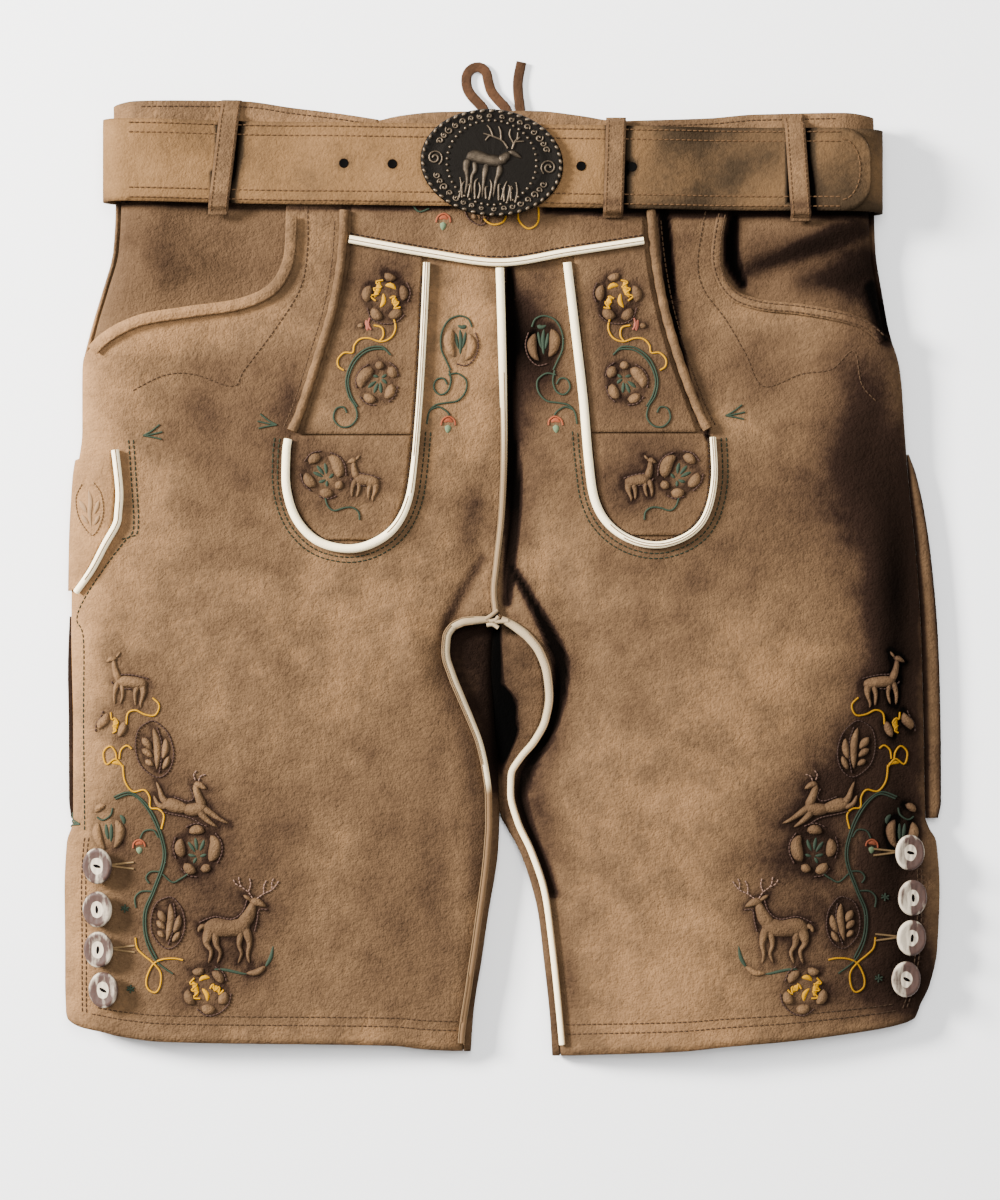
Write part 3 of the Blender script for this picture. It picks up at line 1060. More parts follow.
ON_HIDE = 0.0
ON_FLAP = GAP + THIN_LEATHER
ON_POCKET = 0.7 + THIN_LEATHER
Motif = namedtuple("Motif", "name x y turn size lift", defaults=(ON_HIDE,))
# Places on the left-hand half; the other half has the same, mirrored.
PLACED = rows(Motif, ("doe", -206, -58, -4, 1), ("bud", -212.5, -79.5, -10, 1),
    ("twin_loop", -210.5, -95, 0, 1), ("oval_leaf", -190, -94, 12, 1.1), ("chamois", -172, -124, -8, 0.98),
    ("oak", -167, -148.5, 0, 0.98), ("green_bud", -215.5, -137, 4, 0.95), ("acorn", -199.3, -145, 8, 0.85),
    ("oval_leaf", -183, -189, 2, 1), ("stag", -149.5, -191.5, 0, 0.94), ("branch", -142, -211.5, 0, 1),
    ("blossom", -162.5, -224, 20, 0.98), ("blossom", -64, 155.5, -15, 1, ON_FLAP),
    ("pink_acorn", -75, 139.6, 10, 1, ON_FLAP), ("oak", -68.6, 108.6, 150, 0.86, ON_FLAP),
    ("garland_leaf", -24.5, 130.5, 0, 0.98), ("acorn", -30, 86.5, 0, 1), ("oak", -97.4, 57.4, 30, 0.9, ON_FLAP),
    ("doe", -77, 53, -8, 0.8, ON_FLAP))
ONE_SIDED = rows(Motif, ("pocket_leaf", -225.5, 39, 5, 1.05, ON_POCKET), ("acorn", -32.6, 197.4, 0, 1, ON_FLAP),
    ("oval_leaf", -14, 203, 20, 0.7, ON_FLAP))
# Stems and scrolls in thread: colour, height above the hide, and route.
Stem = namedtuple("Stem", "thread lift path")
STEMS = rows(Stem,
    ("yellow", ON_HIDE, [(-191.6, -64.5), (-188, -68.6), (-190.3, -74), (-196, -73.6), (-201, -71.3),
     (-205.2, -73), (-206, -79)]),
    ("yellow", ON_HIDE, [(-208, -101.4), (-207, -110), (-202.6, -115.8), (-196.4, -115), (-193.4, -119),
     (-193, -124.7), (-188.6, -125.4), (-185.6, -129), (-187, -136.3)]),
    ("green", ON_HIDE, [(-212.1, -119.9), (-203, -117.6), (-194.3, -126), (-187.5, -141), (-186.1, -153.4),
     (-191.6, -169.8), (-196.4, -182), (-195.8, -195.8), (-190.3, -208), (-180.7, -215.6)]),
    ("green", ON_HIDE, [(-213, -118.8), (-203.4, -116.4), (-193.2, -125.4), (-186.4, -140.6), (-184.9, -153.6),
     (-190.5, -170), (-195.2, -182.2), (-194.6, -195.4), (-189.4, -207.2)]),
    ("green", ON_HIDE, [(-186.3, -161), (-181, -165.5), (-176.4, -163.6), (-172.5, -161)]),
    ("green", ON_HIDE, [(-187.6, -159.7), (-192.8, -159.8), (-195.4, -163), (-193.6, -166)]),
    ("green", ON_HIDE, [(-192.6, -170.4), (-198, -170.6), (-201.4, -174), (-200.9, -179.4)]),
    ("green", ON_HIDE, [(-198.6, -141.6), (-196.4, -137.6), (-191.4, -137), (-188.6, -141)]),
    ("yellow", ON_HIDE, [(-201.2, -195.8), (-200.2, -201.6), (-196.4, -205.6), (-191.6, -209.5), (-187.4, -215),
     (-187.6, -222), (-190.3, -225.9), (-194.6, -223.4), (-195, -217.8), (-191.6, -210.6), (-186.8, -207.8),
     (-180, -207.2), (-175.2, -208.1)]),
    ("yellow", ON_FLAP, [(-60.4, 145), (-58.9, 138.4), (-61.4, 133), (-67, 130.7), (-73.6, 132.6), (-78.5, 132),
     (-81.6, 128.6), (-82.4, 124.6), (-87, 124.6), (-90.5, 121), (-90.2, 117), (-87.3, 115)]),
    ("yellow", ON_FLAP, [(-70.9, 139.6), (-66.4, 138.4), (-65.6, 134), (-67.6, 130.9)]),
    ("green", ON_FLAP, [(-62.8, 124.6), (-66.6, 127.9), (-74.7, 126.9), (-82.2, 120.4), (-86, 110),
     (-84.6, 101), (-81, 95), (-80, 89), (-83.6, 84.4), (-89, 84), (-92.8, 88.4), (-91.4, 93.8), (-87.3, 94.7),
     (-85.6, 91.6)]),
    ("green", ON_FLAP, [(-61.6, 123.4), (-65.8, 126.6), (-74.2, 125.6), (-81, 119.6), (-84.8, 110),
     (-83.4, 101.4), (-79.8, 95)]),
    ("green", ON_HIDE, [(-29.6, 115), (-28.6, 109), (-30.6, 103.4), (-35, 101.8), (-38, 105.6), (-36.4, 110),
     (-32.6, 110.6), (-30.6, 107.4)]),
    ("green", ON_HIDE, [(-30, 112.6), (-25, 113.4), (-20.2, 109.6), (-20.6, 103.4), (-25, 98.4), (-31.6, 97.2),
     (-37, 96), (-40.6, 92), (-41.8, 85.6)]),
    ("green", ON_HIDE, [(-39.6, 93.4), (-35.4, 95), (-31, 92.6), (-29.4, 90.2)]),
    ("green", ON_FLAP, [(-97.4, 45.4), (-95.8, 40.4), (-92.4, 37.9), (-87, 39.4), (-82.4, 39.6), (-79, 37),
     (-78.5, 32.9)]))
YOKE_STEMS = rows(Stem, ("yellow", ON_FLAP, [(-11, 204), (-10.4, 198), (-5.4, 194.6), (0.6, 196.6), (2, 204)]),
    ("yellow", ON_FLAP, [(8.6, 204), (8.6, 197), (13.8, 192.4), (19, 195.6), (19.4, 204)]),
    ("green", ON_FLAP, [(-50, 206), (-46, 201.6), (-40.4, 203.4)]))
MIRROR_X = -1.2
LEG_MIRROR_X = 3.0
PAD_HEIGHT = {"hide": 1.9, "yellow": 1.0, "green": 0.9, "mint": 1.1, "orange": 0.8, "pink": 0.9, "paler": 1.2}


def mirrored(x, y):
    """The same place on the other half: the legs' motifs stand a little further out there."""
    return -x + np.where(np.asarray(y) < -40, LEG_MIRROR_X, MIRROR_X)


def placed_lines():
    """Every drawn line of the embroidery in garment coordinates: (thread, path, lift)."""
    found = []
    for placed in PLACED + ONE_SIDED:
        turn = math.radians(placed.turn)
        for drawn in MOTIFS[placed.name]:
            local = np.array(drawn.path, float)
            x, y = local[:, 0] * placed.size, local[:, 1] * placed.size
            across, up = x * math.cos(turn) - y * math.sin(turn), x * math.sin(turn) + y * math.cos(turn)
            path = np.stack([across + placed.x, up + placed.y, local[:, 2]], -1)
            found.append((drawn.thread, path, placed.lift))
            if placed in PLACED:
                other = path.copy()
                other[:, 0] = mirrored(placed.x, placed.y) - (path[:, 0] - placed.x)
                found.append((drawn.thread, other, placed.lift))
    for stem in STEMS + YOKE_STEMS:
        path = np.column_stack([np.array(stem.path, float), np.ones(len(stem.path))])
        found.append((stem.thread, path, stem.lift))
        if stem in STEMS:
            other = path.copy()
            other[:, 0] = mirrored(path[:, 0], path[:, 1].mean())
            found.append((stem.thread, other, stem.lift))
    return found


def is_pad(thread, path):
    """A line whose width changes along it is padded; a thread keeps to its own size."""
    return thread not in ("dark", "pale") and bool(np.ptp(path[:, 2]) > 0)


LINES = placed_lines()
Halo = namedtuple("Halo", "dark reach")
HALOS = rows(Halo, (0.4, 1.4), (0.2, 7.5))
HALO_MARGIN = 20.0
HALO_STEP = 1.6
HALO_BATCH = 60
NO_PAD_NEAR = 99.0
HALO_SPOTS = np.vstack([route(path, max(3, int(route_length(path) / HALO_STEP)))[:, :3]
                        for thread, path, lift in LINES if thread == "hide" and is_pad(thread, path)])


def darkness(points):
    """Stain of the hide, with the shade in the puckers round the embroidery."""
    total = stain_at(points[:, 0], points[:, 1])
    near = np.full(len(points), NO_PAD_NEAR)
    for part in range(0, len(HALO_SPOTS), HALO_BATCH):
        spots = HALO_SPOTS[part:part + HALO_BATCH]
        low, high = spots[:, :2].min(0) - HALO_MARGIN, spots[:, :2].max(0) + HALO_MARGIN
        inside = np.flatnonzero(((points[:, :2] > low) & (points[:, :2] < high)).all(1))
        gaps = np.hypot(points[inside, 0, None] - spots[:, 0], points[inside, 1, None] - spots[:, 1])
        near[inside] = np.minimum(near[inside], (gaps - spots[:, 2]).min(1))
    return total + sum(halo.dark * bell(np.maximum(near, 0), 0, halo.reach) for halo in HALOS)


# ---------------------------------------------------------------- leather pieces
# Where the rows of a panel lie, with how far apart they are from there on.
RowStep = namedtuple("RowStep", "y step")
FRONT_STEPS = rows(RowStep, (-236, 2.3), (-40, 0.8), (-14, 2.3), (132, 0.9), (166, 2.2), (PANEL_TOP_Y, 0))
BACK_STEPS = rows(RowStep, (-236, 7), (-30, 1.6), (0, 7), (PANEL_TOP_Y, 0))
THIGH_STEPS = rows(RowStep, (-236, 3.2), (-44, 0.8), (-20, 0))
HIP_STEPS = rows(RowStep, (112, 2), (PANEL_TOP_Y, 0))
ROUND_ALONG = 34.0
ROUND_SHARE = 0.2
MOUTH_END_SHORT = 3.5
MOUTH_END_Y = (96, 118)
HIP_INNER_X = {LEFT: -101.0, RIGHT: 104.0}
HIP_DEPTH = LEATHER + 1.5
THIGH_BLACK_EDGE = smooth_table([(-104, 0), (-92, 5), (-84, 8), (-70, 7.2), (-63, 5.4), (-57, -0.6),
    (-26, -1.4)])
WAIST_LOW_Y = 208.3
WAIST_LEATHER = 2.0
FRONT_BAND_TOP = {
    LEFT: rows(Point, (-220, 255), (-210.7, 260.2), (-199.7, 261.8), (-144.7, 262.4), (-113.3, 258.5),
        (-90.8, 255.8), (-66, 252)),
    RIGHT: rows(Point, (62, 251.4), (112.8, 253), (139.2, 255), (186.5, 255.2), (210, 252.5)),
}
BACK_BAND_TOP = rows(Point, (-214, 254), (-166.7, 255.2), (-71.5, 253), (-57.2, 255.8), (-34.7, 258),
    (17.6, 258.5), (42.9, 255.8), (61.6, 253), (141.4, 252), (203.5, 250.8))
FRONT_BAND_END = {LEFT: -68.0, RIGHT: 64.0}

V_LINE = rows(Point, (-84.2, 186.5), (-41.8, 179), (-1.7, 173.8), (35.2, 179.3), (77, 185.6))
CENTRE_LINE = rows(Point, (-1.7, 171), (-0.6, 132), (0.6, 77), (-0.6, 38.5), (-3.3, 11), (-5, -5.5), (-4, -17.5))
WELT = {
    LEFT: rows(Point, (-86.9, 202.4), (-88.6, 176), (-93.5, 148.5), (-101.8, 121), (-110.6, 93.5),
        (-115.5, 81.5)),
    RIGHT: rows(Point, (80.9, 202.4), (83.6, 176), (88.6, 148.5), (97.4, 118.3), (106.7, 93.5), (112, 82.5)),
}
TAB_LINE = {
    LEFT: rows(Point, (-41.8, 174), (-43.5, 137.5), (-45.7, 99), (-49, 60.5), (-52.6, 41.2), (-60.5, 27.5),
        (-73.2, 19.2), (-86.9, 17.1), (-101.8, 21.5), (-112.8, 33), (-118.3, 49.5), (-118.6, 68.8), (-117.6, 77)),
    RIGHT: rows(Point, (35.2, 174), (39.6, 137.5), (44, 99), (46.8, 66), (50.1, 44), (57.8, 30.3), (71, 21.5),
        (86.4, 19.2), (101.8, 24.8), (111.1, 35.8), (115.5, 55), (114.8, 78)),
}
TabRow = namedtuple("TabRow", "y inner outer")
TAB_ROWS = {
    LEFT: rows(TabRow, (22, -72, -97), (26.5, -64.5, -103), (33, -59.5, -109), (42, -55.5, -113.5),
        (56, -52.6, -115.8), (70, -51.2, -115.9), (79, -50.4, -114.8)),
    RIGHT: rows(TabRow, (24.5, 71, 97), (28.5, 62.5, 102.5), (35, 57.6, 108), (44, 53.4, 112), (56, 51, 112.8),
        (70, 49.6, 112.6), (80, 48.6, 111)),
}
FLAP_SIDE_ROWS = {
    LEFT: rows(TabRow, (80, -50.2, -110.2), (100, -48.6, -103.8), (121, -47.4, -97), (148.5, -46, -89.2),
        (168, -45, -84.8), (184, -44, -83)),
    RIGHT: rows(TabRow, (81, 48.4, 106.4), (100, 46.8, 99.4), (121, 44.6, 91.6), (148.5, 42, 83.8),
        (168, 40.2, 79.8), (184, 38.6, 77.8)),
}
FLAP_TOP_Y = 246.0
YOKE_LEFT_X = -83.0
YOKE_RIGHT_X = 77.4
YOKE_ABOVE_V = 0.2
SIDE_BELOW_V = 0.4
v_line_y = smooth_table(V_LINE)
PIPING_RADIUS = 1.8
WELT_RADIUS = 2.5
PIPING_LIFT = PIPING_RADIUS + 0.7
INSEAM_PIPING_INSET = 1.2
# How thick each piping is along its length, as shares of its radius, and the grooves along it.
Groove = namedtuple("Groove", "start end across")
PIPING_SWELL = {
    "piping_flap": smooth_table([(0, 1.25), (0.45, 1.2), (0.55, 1.2), (1, 1.15)]),
    "piping_centre": smooth_table([(0, 1.3), (0.3, 1.2), (0.45, 1.05), (1, 0.95)]),
    "piping_tab_left": smooth_table([(0, 1.05), (0.4, 0.95), (0.52, 1.15), (0.62, 1.35), (1, 1.25)]),
    "piping_tab_right": smooth_table([(0, 1.3), (0.45, 1.35), (0.62, 1.2), (0.75, 1.05), (1, 0.95)]),
    "piping_inseam_left": smooth_table([(0, 1.0), (0.05, 1.35), (0.2, 1.3), (0.35, 1.1), (1, 0.95)]),
    "piping_inseam_right": smooth_table([(0, 1.1), (0.05, 1.4), (0.2, 1.3), (0.4, 1.1), (1, 1.0)]),
    "piping_knife_pocket": smooth_table([(0, 1.0), (0.5, 1.2), (1, 1.2)]),
}
GROOVES = {
    "piping_flap": rows(Groove, (0, 1, 0.1)),
    "piping_centre": rows(Groove, (0.3, 1, -0.3), (0.4, 1, 0.85)),
    "piping_tab_left": rows(Groove, (0, 0.5, -0.25), (0, 0.42, 0.35), (0.5, 0.6, 0.3)),
    "piping_tab_right": rows(Groove, (0.58, 1, -0.25), (0.62, 1, 0.35)),
    "piping_inseam_left": rows(Groove, (0.08, 0.4, 0.45), (0.03, 1, -0.85), (0.03, 1, 0.85)),
    "piping_inseam_right": rows(Groove, (0.3, 1, 0.3), (0.06, 1, -0.8), (0.06, 1, 0.82)),
    "piping_knife_pocket": rows(Groove, (0.1, 1, 0.2)),
}
GROOVE_SUNK = 0.12
GROOVE_RADIUS = 0.34
PIPING_KNOT_RISE = 1.2
PIPING_KNOT_RADIUS = 1.15
PIPING_KNOTS = [[(-9.6, -21.4), (-6.4, -19.4), (-3, -16.6)], [(-7.6, -22.6), (-4.2, -22), (-2.4, -20)],
    [(-9, -24.8), (-5.6, -24.4), (-2.6, -26.2)], [(-4.6, -22.8), (-1, -22.8), (3, -22.4)]]
INSEAM_PIPING_START = {LEFT: Point(-7.2, -21.6), RIGHT: Point(-0.8, -21.6)}
BAND_LIFT = GAP + 0.25
BAND_WIDTH = 6.2
BAND_START = 0.4
BAND_ROUND = 0.35
BAND_TOP_Y = 200.0
POCKET_BEFORE_EDGE = 2.8
POCKET_LEAN = 3.5
POCKET_LOW_Y = -6.0
POCKET_LENGTH = 75.0
POCKET_EDGE = rows(Point, (-240, -14), (-232.7, -6.6), (-224.4, 5.5), (-217.3, 19.2), (-211.2, 30.3),
    (-210.1, 37.4), (-209.6, 49.5), (-211.8, 71))
SIDE_SEAM_START = 0.1
SIDE_SEAM_HEIGHT = 0.65
SIDE_SEAM_FALL = 0.1
SIDE_SEAM_THICKNESS = 1.3
SIDE_SEAM_PUFF = {LEFT: 0.1, RIGHT: 0.9}
SIDE_SEAM = {
    LEFT: rows(Point, (1.2, -131), (2.4, -120), (2.5, -60), (1, -20)),
    RIGHT: rows(Point, (7, -131), (9, -122), (9.6, -60), (8.7, 0), (7, 40), (4.6, 58), (1.4, 69)),
}
SIDE_SEAM_DARK = {
    LEFT: smooth_table([(0.0, 1.2), (1.0, 1.2)]),
    RIGHT: smooth_table([(0.0, 1.5), (0.2, 1.15), (0.4, 0.45), (0.6, 0.3), (0.78, 0.6), (1.0, 1.3)]),
}


def row_count(steps):
    return round(sum((after.y - row.y) / row.step for row, after in zip(steps, steps[1:])))


def stepped(steps, share):
    """The row at a share of a grid whose rows are spaced as the table says."""
    counts = [(after.y - row.y) / row.step for row, after in zip(steps, steps[1:])]
    gone = np.concatenate([[0], np.cumsum(counts)]) / sum(counts)
    return np.interp(share, gone, [row.y for row in steps])


def finer_at_side(share, limit, start=0.0):
    """Measure along a section: most columns up to the shoulder, the rest round the side."""
    shoulder = limit - ROUND_ALONG
    before = start + (shoulder - start) * share / (1 - ROUND_SHARE)
    after = shoulder + ROUND_ALONG * (share - 1 + ROUND_SHARE) / ROUND_SHARE
    return np.where(share <= 1 - ROUND_SHARE, before, after)


def front_limit(side, row):
    full = section_length(side, row) - MOUTH_END_SHORT * ease(*MOUTH_END_Y, row)
    at_mouth = np.minimum(full, along_of(side, row, mouth_x[side](row)))
    return np.where(row <= MOUTH[side][-1].y, full, at_mouth)


def build_front(side, word, hide, thickness):
    def place(u, v):
        row = stepped(FRONT_STEPS, v)
        return front_point(side, row, finer_at_side(u, front_limit(side, row)))

    return leather("front_" + word, 118, row_count(FRONT_STEPS), place, hide, thickness, flip=side == LEFT)


def closer_at_end(u):
    """Shares that stand closer together towards 1, where a piece turns up."""
    return 1 - (1 - u) ** 1.6


def build_back(side, word, hide, thickness):
    def place(u, v):
        points = back_point(side, stepped(BACK_STEPS, v), closer_at_end(u))
        x, y, z = points.T
        points[:, 2] += 0.35 * np.sin(x / 31) * np.sin(y / 43) * ease(1.0, 4.0, z)
        return points

    return leather("back_" + word, 44, row_count(BACK_STEPS), place, hide, thickness, flip=side == RIGHT)


def left_thigh_stain(points, shares):
    """Dark all over, and black where it meets the other one."""
    x, y = points[:, 0], points[:, 1]
    return 0.35 + ease(-135, -95, y) * (0.85 + 0.8 * bell(x, -3, 5))


def right_thigh_stain(points, shares):
    """Pale on the height of its upper part, and black on the inner side of a wavy edge."""
    x, y = points[:, 0], points[:, 1]
    beyond = x - THIGH_BLACK_EDGE(y)
    return 0.1 + 2.0 * ease(1.2, -1.2, beyond) * ease(-112, -96, y) + 0.5 * bell(beyond, 1, 4)


THIGH_STAIN = {LEFT: left_thigh_stain, RIGHT: right_thigh_stain}


def build_thigh(side, word, hide, thickness):
    def place(u, v):
        return thigh_point(side, stepped(THIGH_STEPS, v), u)

    return leather("thigh_" + word, 24, row_count(THIGH_STEPS), place, hide, thickness, flip=side == RIGHT,
                   stain=THIGH_STAIN[side])


def build_hip(side, word, hide):
    def place(u, v):
        row = stepped(HIP_STEPS, v)
        start = along_of(side, row, np.full(row.shape, HIP_INNER_X[side]))
        along = start + (section_length(side, row) - start) * u
        return front_point(side, row, along, -HIP_DEPTH)

    return leather("hip_" + word, 60, row_count(HIP_STEPS), place, hide, THIN_LEATHER, flip=side == LEFT)


def build_front_band(side, word, hide):
    top = smooth_table(FRONT_BAND_TOP[side])

    def place(u, v):
        start = float(along_of(side, WAIST_LOW_Y, FRONT_BAND_END[side]))
        whole = float(section_length(side, WAIST_LOW_Y))
        share = finer_at_side(u, whole, start) / whole
        high = top(front_point(side, WAIST_LOW_Y, share * whole)[:, 0])
        row = WAIST_LOW_Y + (high - WAIST_LOW_Y) * v
        return front_point(side, row, share * section_length(side, row))

    return leather("waistband_front_" + word, 90, 26, place, hide, WAIST_LEATHER, flip=side == LEFT)


def build_back_band(hide):
    top = smooth_table(BACK_BAND_TOP)

    def place(u, v):
        points = np.zeros((len(u), 3))
        share = closer_at_end(np.abs(2 * u - 1))
        for side, chosen in ((LEFT, u < 0.5), (RIGHT, u >= 0.5)):
            points[chosen] = back_point(side, np.full(chosen.sum(), WAIST_LOW_Y), share[chosen])
        middle = share == 0
        points[middle, 0] = float(front_seam[LEFT](WAIST_LOW_Y)) + 0.4
        points[:, 1] = WAIST_LOW_Y + (top(points[:, 0]) - WAIST_LOW_Y) * v
        return points

    return leather("waistband_back", 120, 18, place, hide, WAIST_LEATHER, flip=True)


def build_flap_piece(node, levels, side, hide, ends_at_v=False):
    inner = smooth_table([(row.y, row.inner) for row in levels])
    outer = smooth_table([(row.y, row.outer) for row in levels])
    low, high = levels[0].y, levels[-1].y

    def place(u, v):
        y = low + (high - low) * v
        x = inner(y) + (outer(y) - inner(y)) * u
        if ends_at_v:
            y = low + (v_line_y(x) - SIDE_BELOW_V - low) * v
        return on_front(x, y, ON_FLAP)

    return leather(node, 34, round((high - low) / 2) + 8, place, hide, THIN_LEATHER, flip=side == LEFT)


def build_yoke(hide):
    def place(u, v):
        x = YOKE_LEFT_X + (YOKE_RIGHT_X - YOKE_LEFT_X) * u
        y = v_line_y(x) + YOKE_ABOVE_V + (FLAP_TOP_Y - v_line_y(x)) * v
        return on_front(x, y, ON_FLAP)

    return leather("flap_yoke", 84, 34, place, hide, THIN_LEATHER)


def mouth_before(side, short):
    """The pocket mouth's line, from short of the side fold to below the belt."""
    line = route(MOUTH[side], 150)
    return line[(side * (side_fold[side](line[:, 1]) - line[:, 0]) > short) & (line[:, 1] < BAND_TOP_Y)]


def build_mouth_band(side, word, hide):
    kept = mouth_before(side, 3.0)

    def place(u, v):
        index = np.rint(v * (len(kept) - 1)).astype(int)
        outward = (shifted(kept, 1.0) - kept)[index] * side
        reach = BAND_START + (BAND_WIDTH - BAND_START) * u
        return on_front(kept[index, 0] + outward[:, 0] * reach, kept[index, 1] + outward[:, 1] * reach,
                        BAND_LIFT + THIN_LEATHER - BAND_ROUND * np.cos(2 * np.pi * u))

    return leather("mouth_band_" + word, 6, len(kept) - 1, place, hide, THIN_LEATHER)


def build_knife_pocket(hide):
    edge = smooth_table([(p.y, p.x) for p in POCKET_EDGE])

    def place(u, v):
        row = POCKET_LOW_Y + POCKET_LENGTH * v
        start = along_of(LEFT, row, edge(row) - POCKET_BEFORE_EDGE)
        full = section_length(LEFT, row)
        return front_point(LEFT, row - POCKET_LEAN * u * v, start + (full - start) * u, ON_POCKET)

    return leather("knife_pocket", 24, 40, place, hide, THIN_LEATHER, flip=True)


def build_side_seam(side, word, hide):
    width = smooth_table([(p.y, p.x) for p in SIDE_SEAM[side]])
    low, high = SIDE_SEAM[side][0].y, SIDE_SEAM[side][-1].y

    def place(u, v):
        row = low + (high - low) * v
        reach = SIDE_SEAM_START + width(row) * u
        puff = SIDE_SEAM_PUFF[side] * np.sin(np.pi * u) * (1 + 0.25 * np.sin(row / 5.7))
        z = side_height(row) + SIDE_SEAM_HEIGHT - SIDE_SEAM_FALL * reach + puff
        return np.stack([side_fold[side](row) + side * reach, row, z], -1)

    return leather("side_seam_" + word, 8, 100, place, hide, SIDE_SEAM_THICKNESS,
                   flip=side == LEFT, stain=lambda _, shares: SIDE_SEAM_DARK[side](shares[:, 0]))


def inseam_line(side):
    ys = np.concatenate([np.linspace(-22.5, -40, 14), np.linspace(-44, -254, 70)])
    seam = front_seam[side](row_at(side, front_seam[side](ys), ys)) + side * INSEAM_PIPING_INSET
    start = INSEAM_PIPING_START[side]
    return np.vstack([[start.x, start.y], np.stack([seam, ys], -1)])


def build_pipings(piping, hide, groove_shade):
    on_flap = ON_FLAP + PIPING_LIFT
    lines = [("piping_flap", route(V_LINE, 60), on_flap),
             ("piping_centre", route(CENTRE_LINE, 80), PIPING_LIFT)]
    for side, word in SIDES:
        lines.append(("piping_tab_" + word, route(TAB_LINE[side], 150), PIPING_LIFT))
        lines.append(("piping_inseam_" + word, route(inseam_line(side), 170), PIPING_LIFT))
        welt = route(WELT[side], 90)
        swell = 1 + 0.05 * np.sin(np.arange(90) * 0.9) + 0.16 * (np.arange(90) > 86)
        path = np.column_stack([laid(welt, WELT_RADIUS + 0.5), swell])
        threads("welt_%s_leather" % word, [path], WELT_RADIUS, hide, "welt_" + word, sides=4)
    lines.append(("piping_knife_pocket", route(POCKET_EDGE[1:], 60), PIPING_LIFT))
    grooves = []
    for node, path, lift in lines:
        share = np.linspace(0, 1, len(path))
        swell = PIPING_SWELL[node](share)
        cord = np.column_stack([laid(path, lift), swell])
        threads(node + "_cord", [cord], PIPING_RADIUS, piping, node, "piping", sides=4)
        for groove in GROOVES[node]:
            kept = (share >= groove.start) & (share <= groove.end)
            radius = PIPING_RADIUS * swell[kept]
            off = groove.across * radius
            height = lift + np.sqrt(np.maximum(0.0, radius ** 2 - off ** 2)) - GROOVE_SUNK
            line = shifted(path, 1.0)[kept] - path[kept]
            grooves.append(laid(path[kept] + line * off[:, None], height))
    threads("piping_grooves", grooves, GROOVE_RADIUS, groove_shade, slot="piping")
    knots = [laid(route(knot, 8), PIPING_LIFT + PIPING_KNOT_RISE) for knot in PIPING_KNOTS]
    threads("piping_knots", knots, PIPING_KNOT_RADIUS, piping, slot="piping", sides=3)


# ---------------------------------------------------------------- belt, buckle, loops, buttons and laces
BELT_WIDTH = 45.0
BELT_TIP_X = 200.5
BELT_TIP_ROUND = 15.0
BELT_TURN = {LEFT: -219.6, RIGHT: 208.4}
BELT_LAYER = STRAP_LEATHER + 0.4
BELT_START_X = -14.0
BELT_LOW = 1.95
BELT_EASE = 0.9
BELT_TILT = 0.0146
BELT_MIDDLE_Y = 226.4
BELT_OVERLAP_X = -48.0
BELT_STITCH_INSETS = (2.2, 7.4)
BELT_THREAD_RADIUS = 0.38
# How far out the flap's edge lies under the strap.
FLAP_EDGE_X = (92, 116)
BELT_TURN_REACH = 13.0
BELT_RIGHT_DARK = 0.76
BeltShade = namedtuple("BeltShade", "x reach dark")
BELT_SHADES = rows(BeltShade, (-219, 5, 0.35), (106, 26, 0.3), (44, 16, -0.3), (196, 22, 0.3), (-146, 10, 0.3))
BELT_DARK_SHARE = (0.3, 0.36, 0.48)
LOOP_TOP_Y = 250.0
LOOP_REST = 0.9
LOOP_CLEAR = 0.75
LOOP_ROUND = 0.45
BACK_LOOP_LOW_Y = 196.0
BACK_LOOP_LENGTH = 55.0
LOOP_SHADE = 1.9
LOOP_SHADE_REACH = 3.4
BELT_FLAT = {LEFT: BELT_TURN[LEFT] + 26.0, RIGHT: BELT_TURN[RIGHT] - 22.0}
HOLES_X = (-87.0, -60.5, 42.6, 70.4)
HOLE_RADIUS = 2.5
HOLE_SHADE = 0.9
HOLE_SHADE_REACH = 1.2
BUCKLE_CENTRE = Point(-6.1, 227.2)
BUCKLE_FACE_ROWS = 13
BUCKLE_HALF_LENGTH = 39.0
BUCKLE_HALF_HEIGHT = 29.2
BUCKLE_TURN = math.radians(-5)
Turned = namedtuple("Turned", "radius height")
HOLE_PROFILE = rows(Turned, (0, 0.24), (0.8, 0.25), (0.95, 0.36), (1.05, 0.2), (1.05, -0.5), (0, -0.5))
BUCKLE_PROFILE = rows(Turned, (0, 3.1), (0.2, 3.1), (0.4, 3.05), (0.6, 2.9), (0.66, 2.8), (0.69, 2.9),
    (0.72, 2.9), (0.76, 2.5), (0.82, 2.3), (0.88, 2.4), (0.92, 2.8), (0.97, 2.9), (1, 2.2), (0.99, 1.2),
    (0.95, 0), (0, 0))
Loop = namedtuple("Loop", "name top_x top_y low_x low_y")
FRONT_LOOPS = rows(Loop, ("belt_loop_front_left", -148.5, 262.5, -156, 199.5),
    ("belt_loop_front_middle", 61.8, 252.8, 60, 198), ("belt_loop_front_right", 158.5, 254.5, 162.6, 196))
BACK_LOOP_X = {"belt_loop_back_left": -92.0, "belt_loop_back_right": 88.0}
LOOP_WIDTH = 11.0
LOOP_LEATHER = 1.5
LoopStep = namedtuple("LoopStep", "beyond rise")
LOOP_STEPS = rows(LoopStep, (4.6, 0), (3.4, 0.15), (2.6, 0.75), (1.8, 1), (-12, 1))
BUTTONS = {
    LEFT: rows(Point, (-220.5, -156.2), (-220.5, -179.9), (-220, -201.9), (-217.4, -223.9)),
    RIGHT: rows(Point, (221.5, -149.1), (223, -173.8), (222.5, -195.8), (219.5, -218.4)),
}
BUTTON_RADIUS = 9.8
BUTTON_OVAL = 0.86
BUTTON_TILT = math.radians(14)
BUTTON_CLEARANCE = 3.9
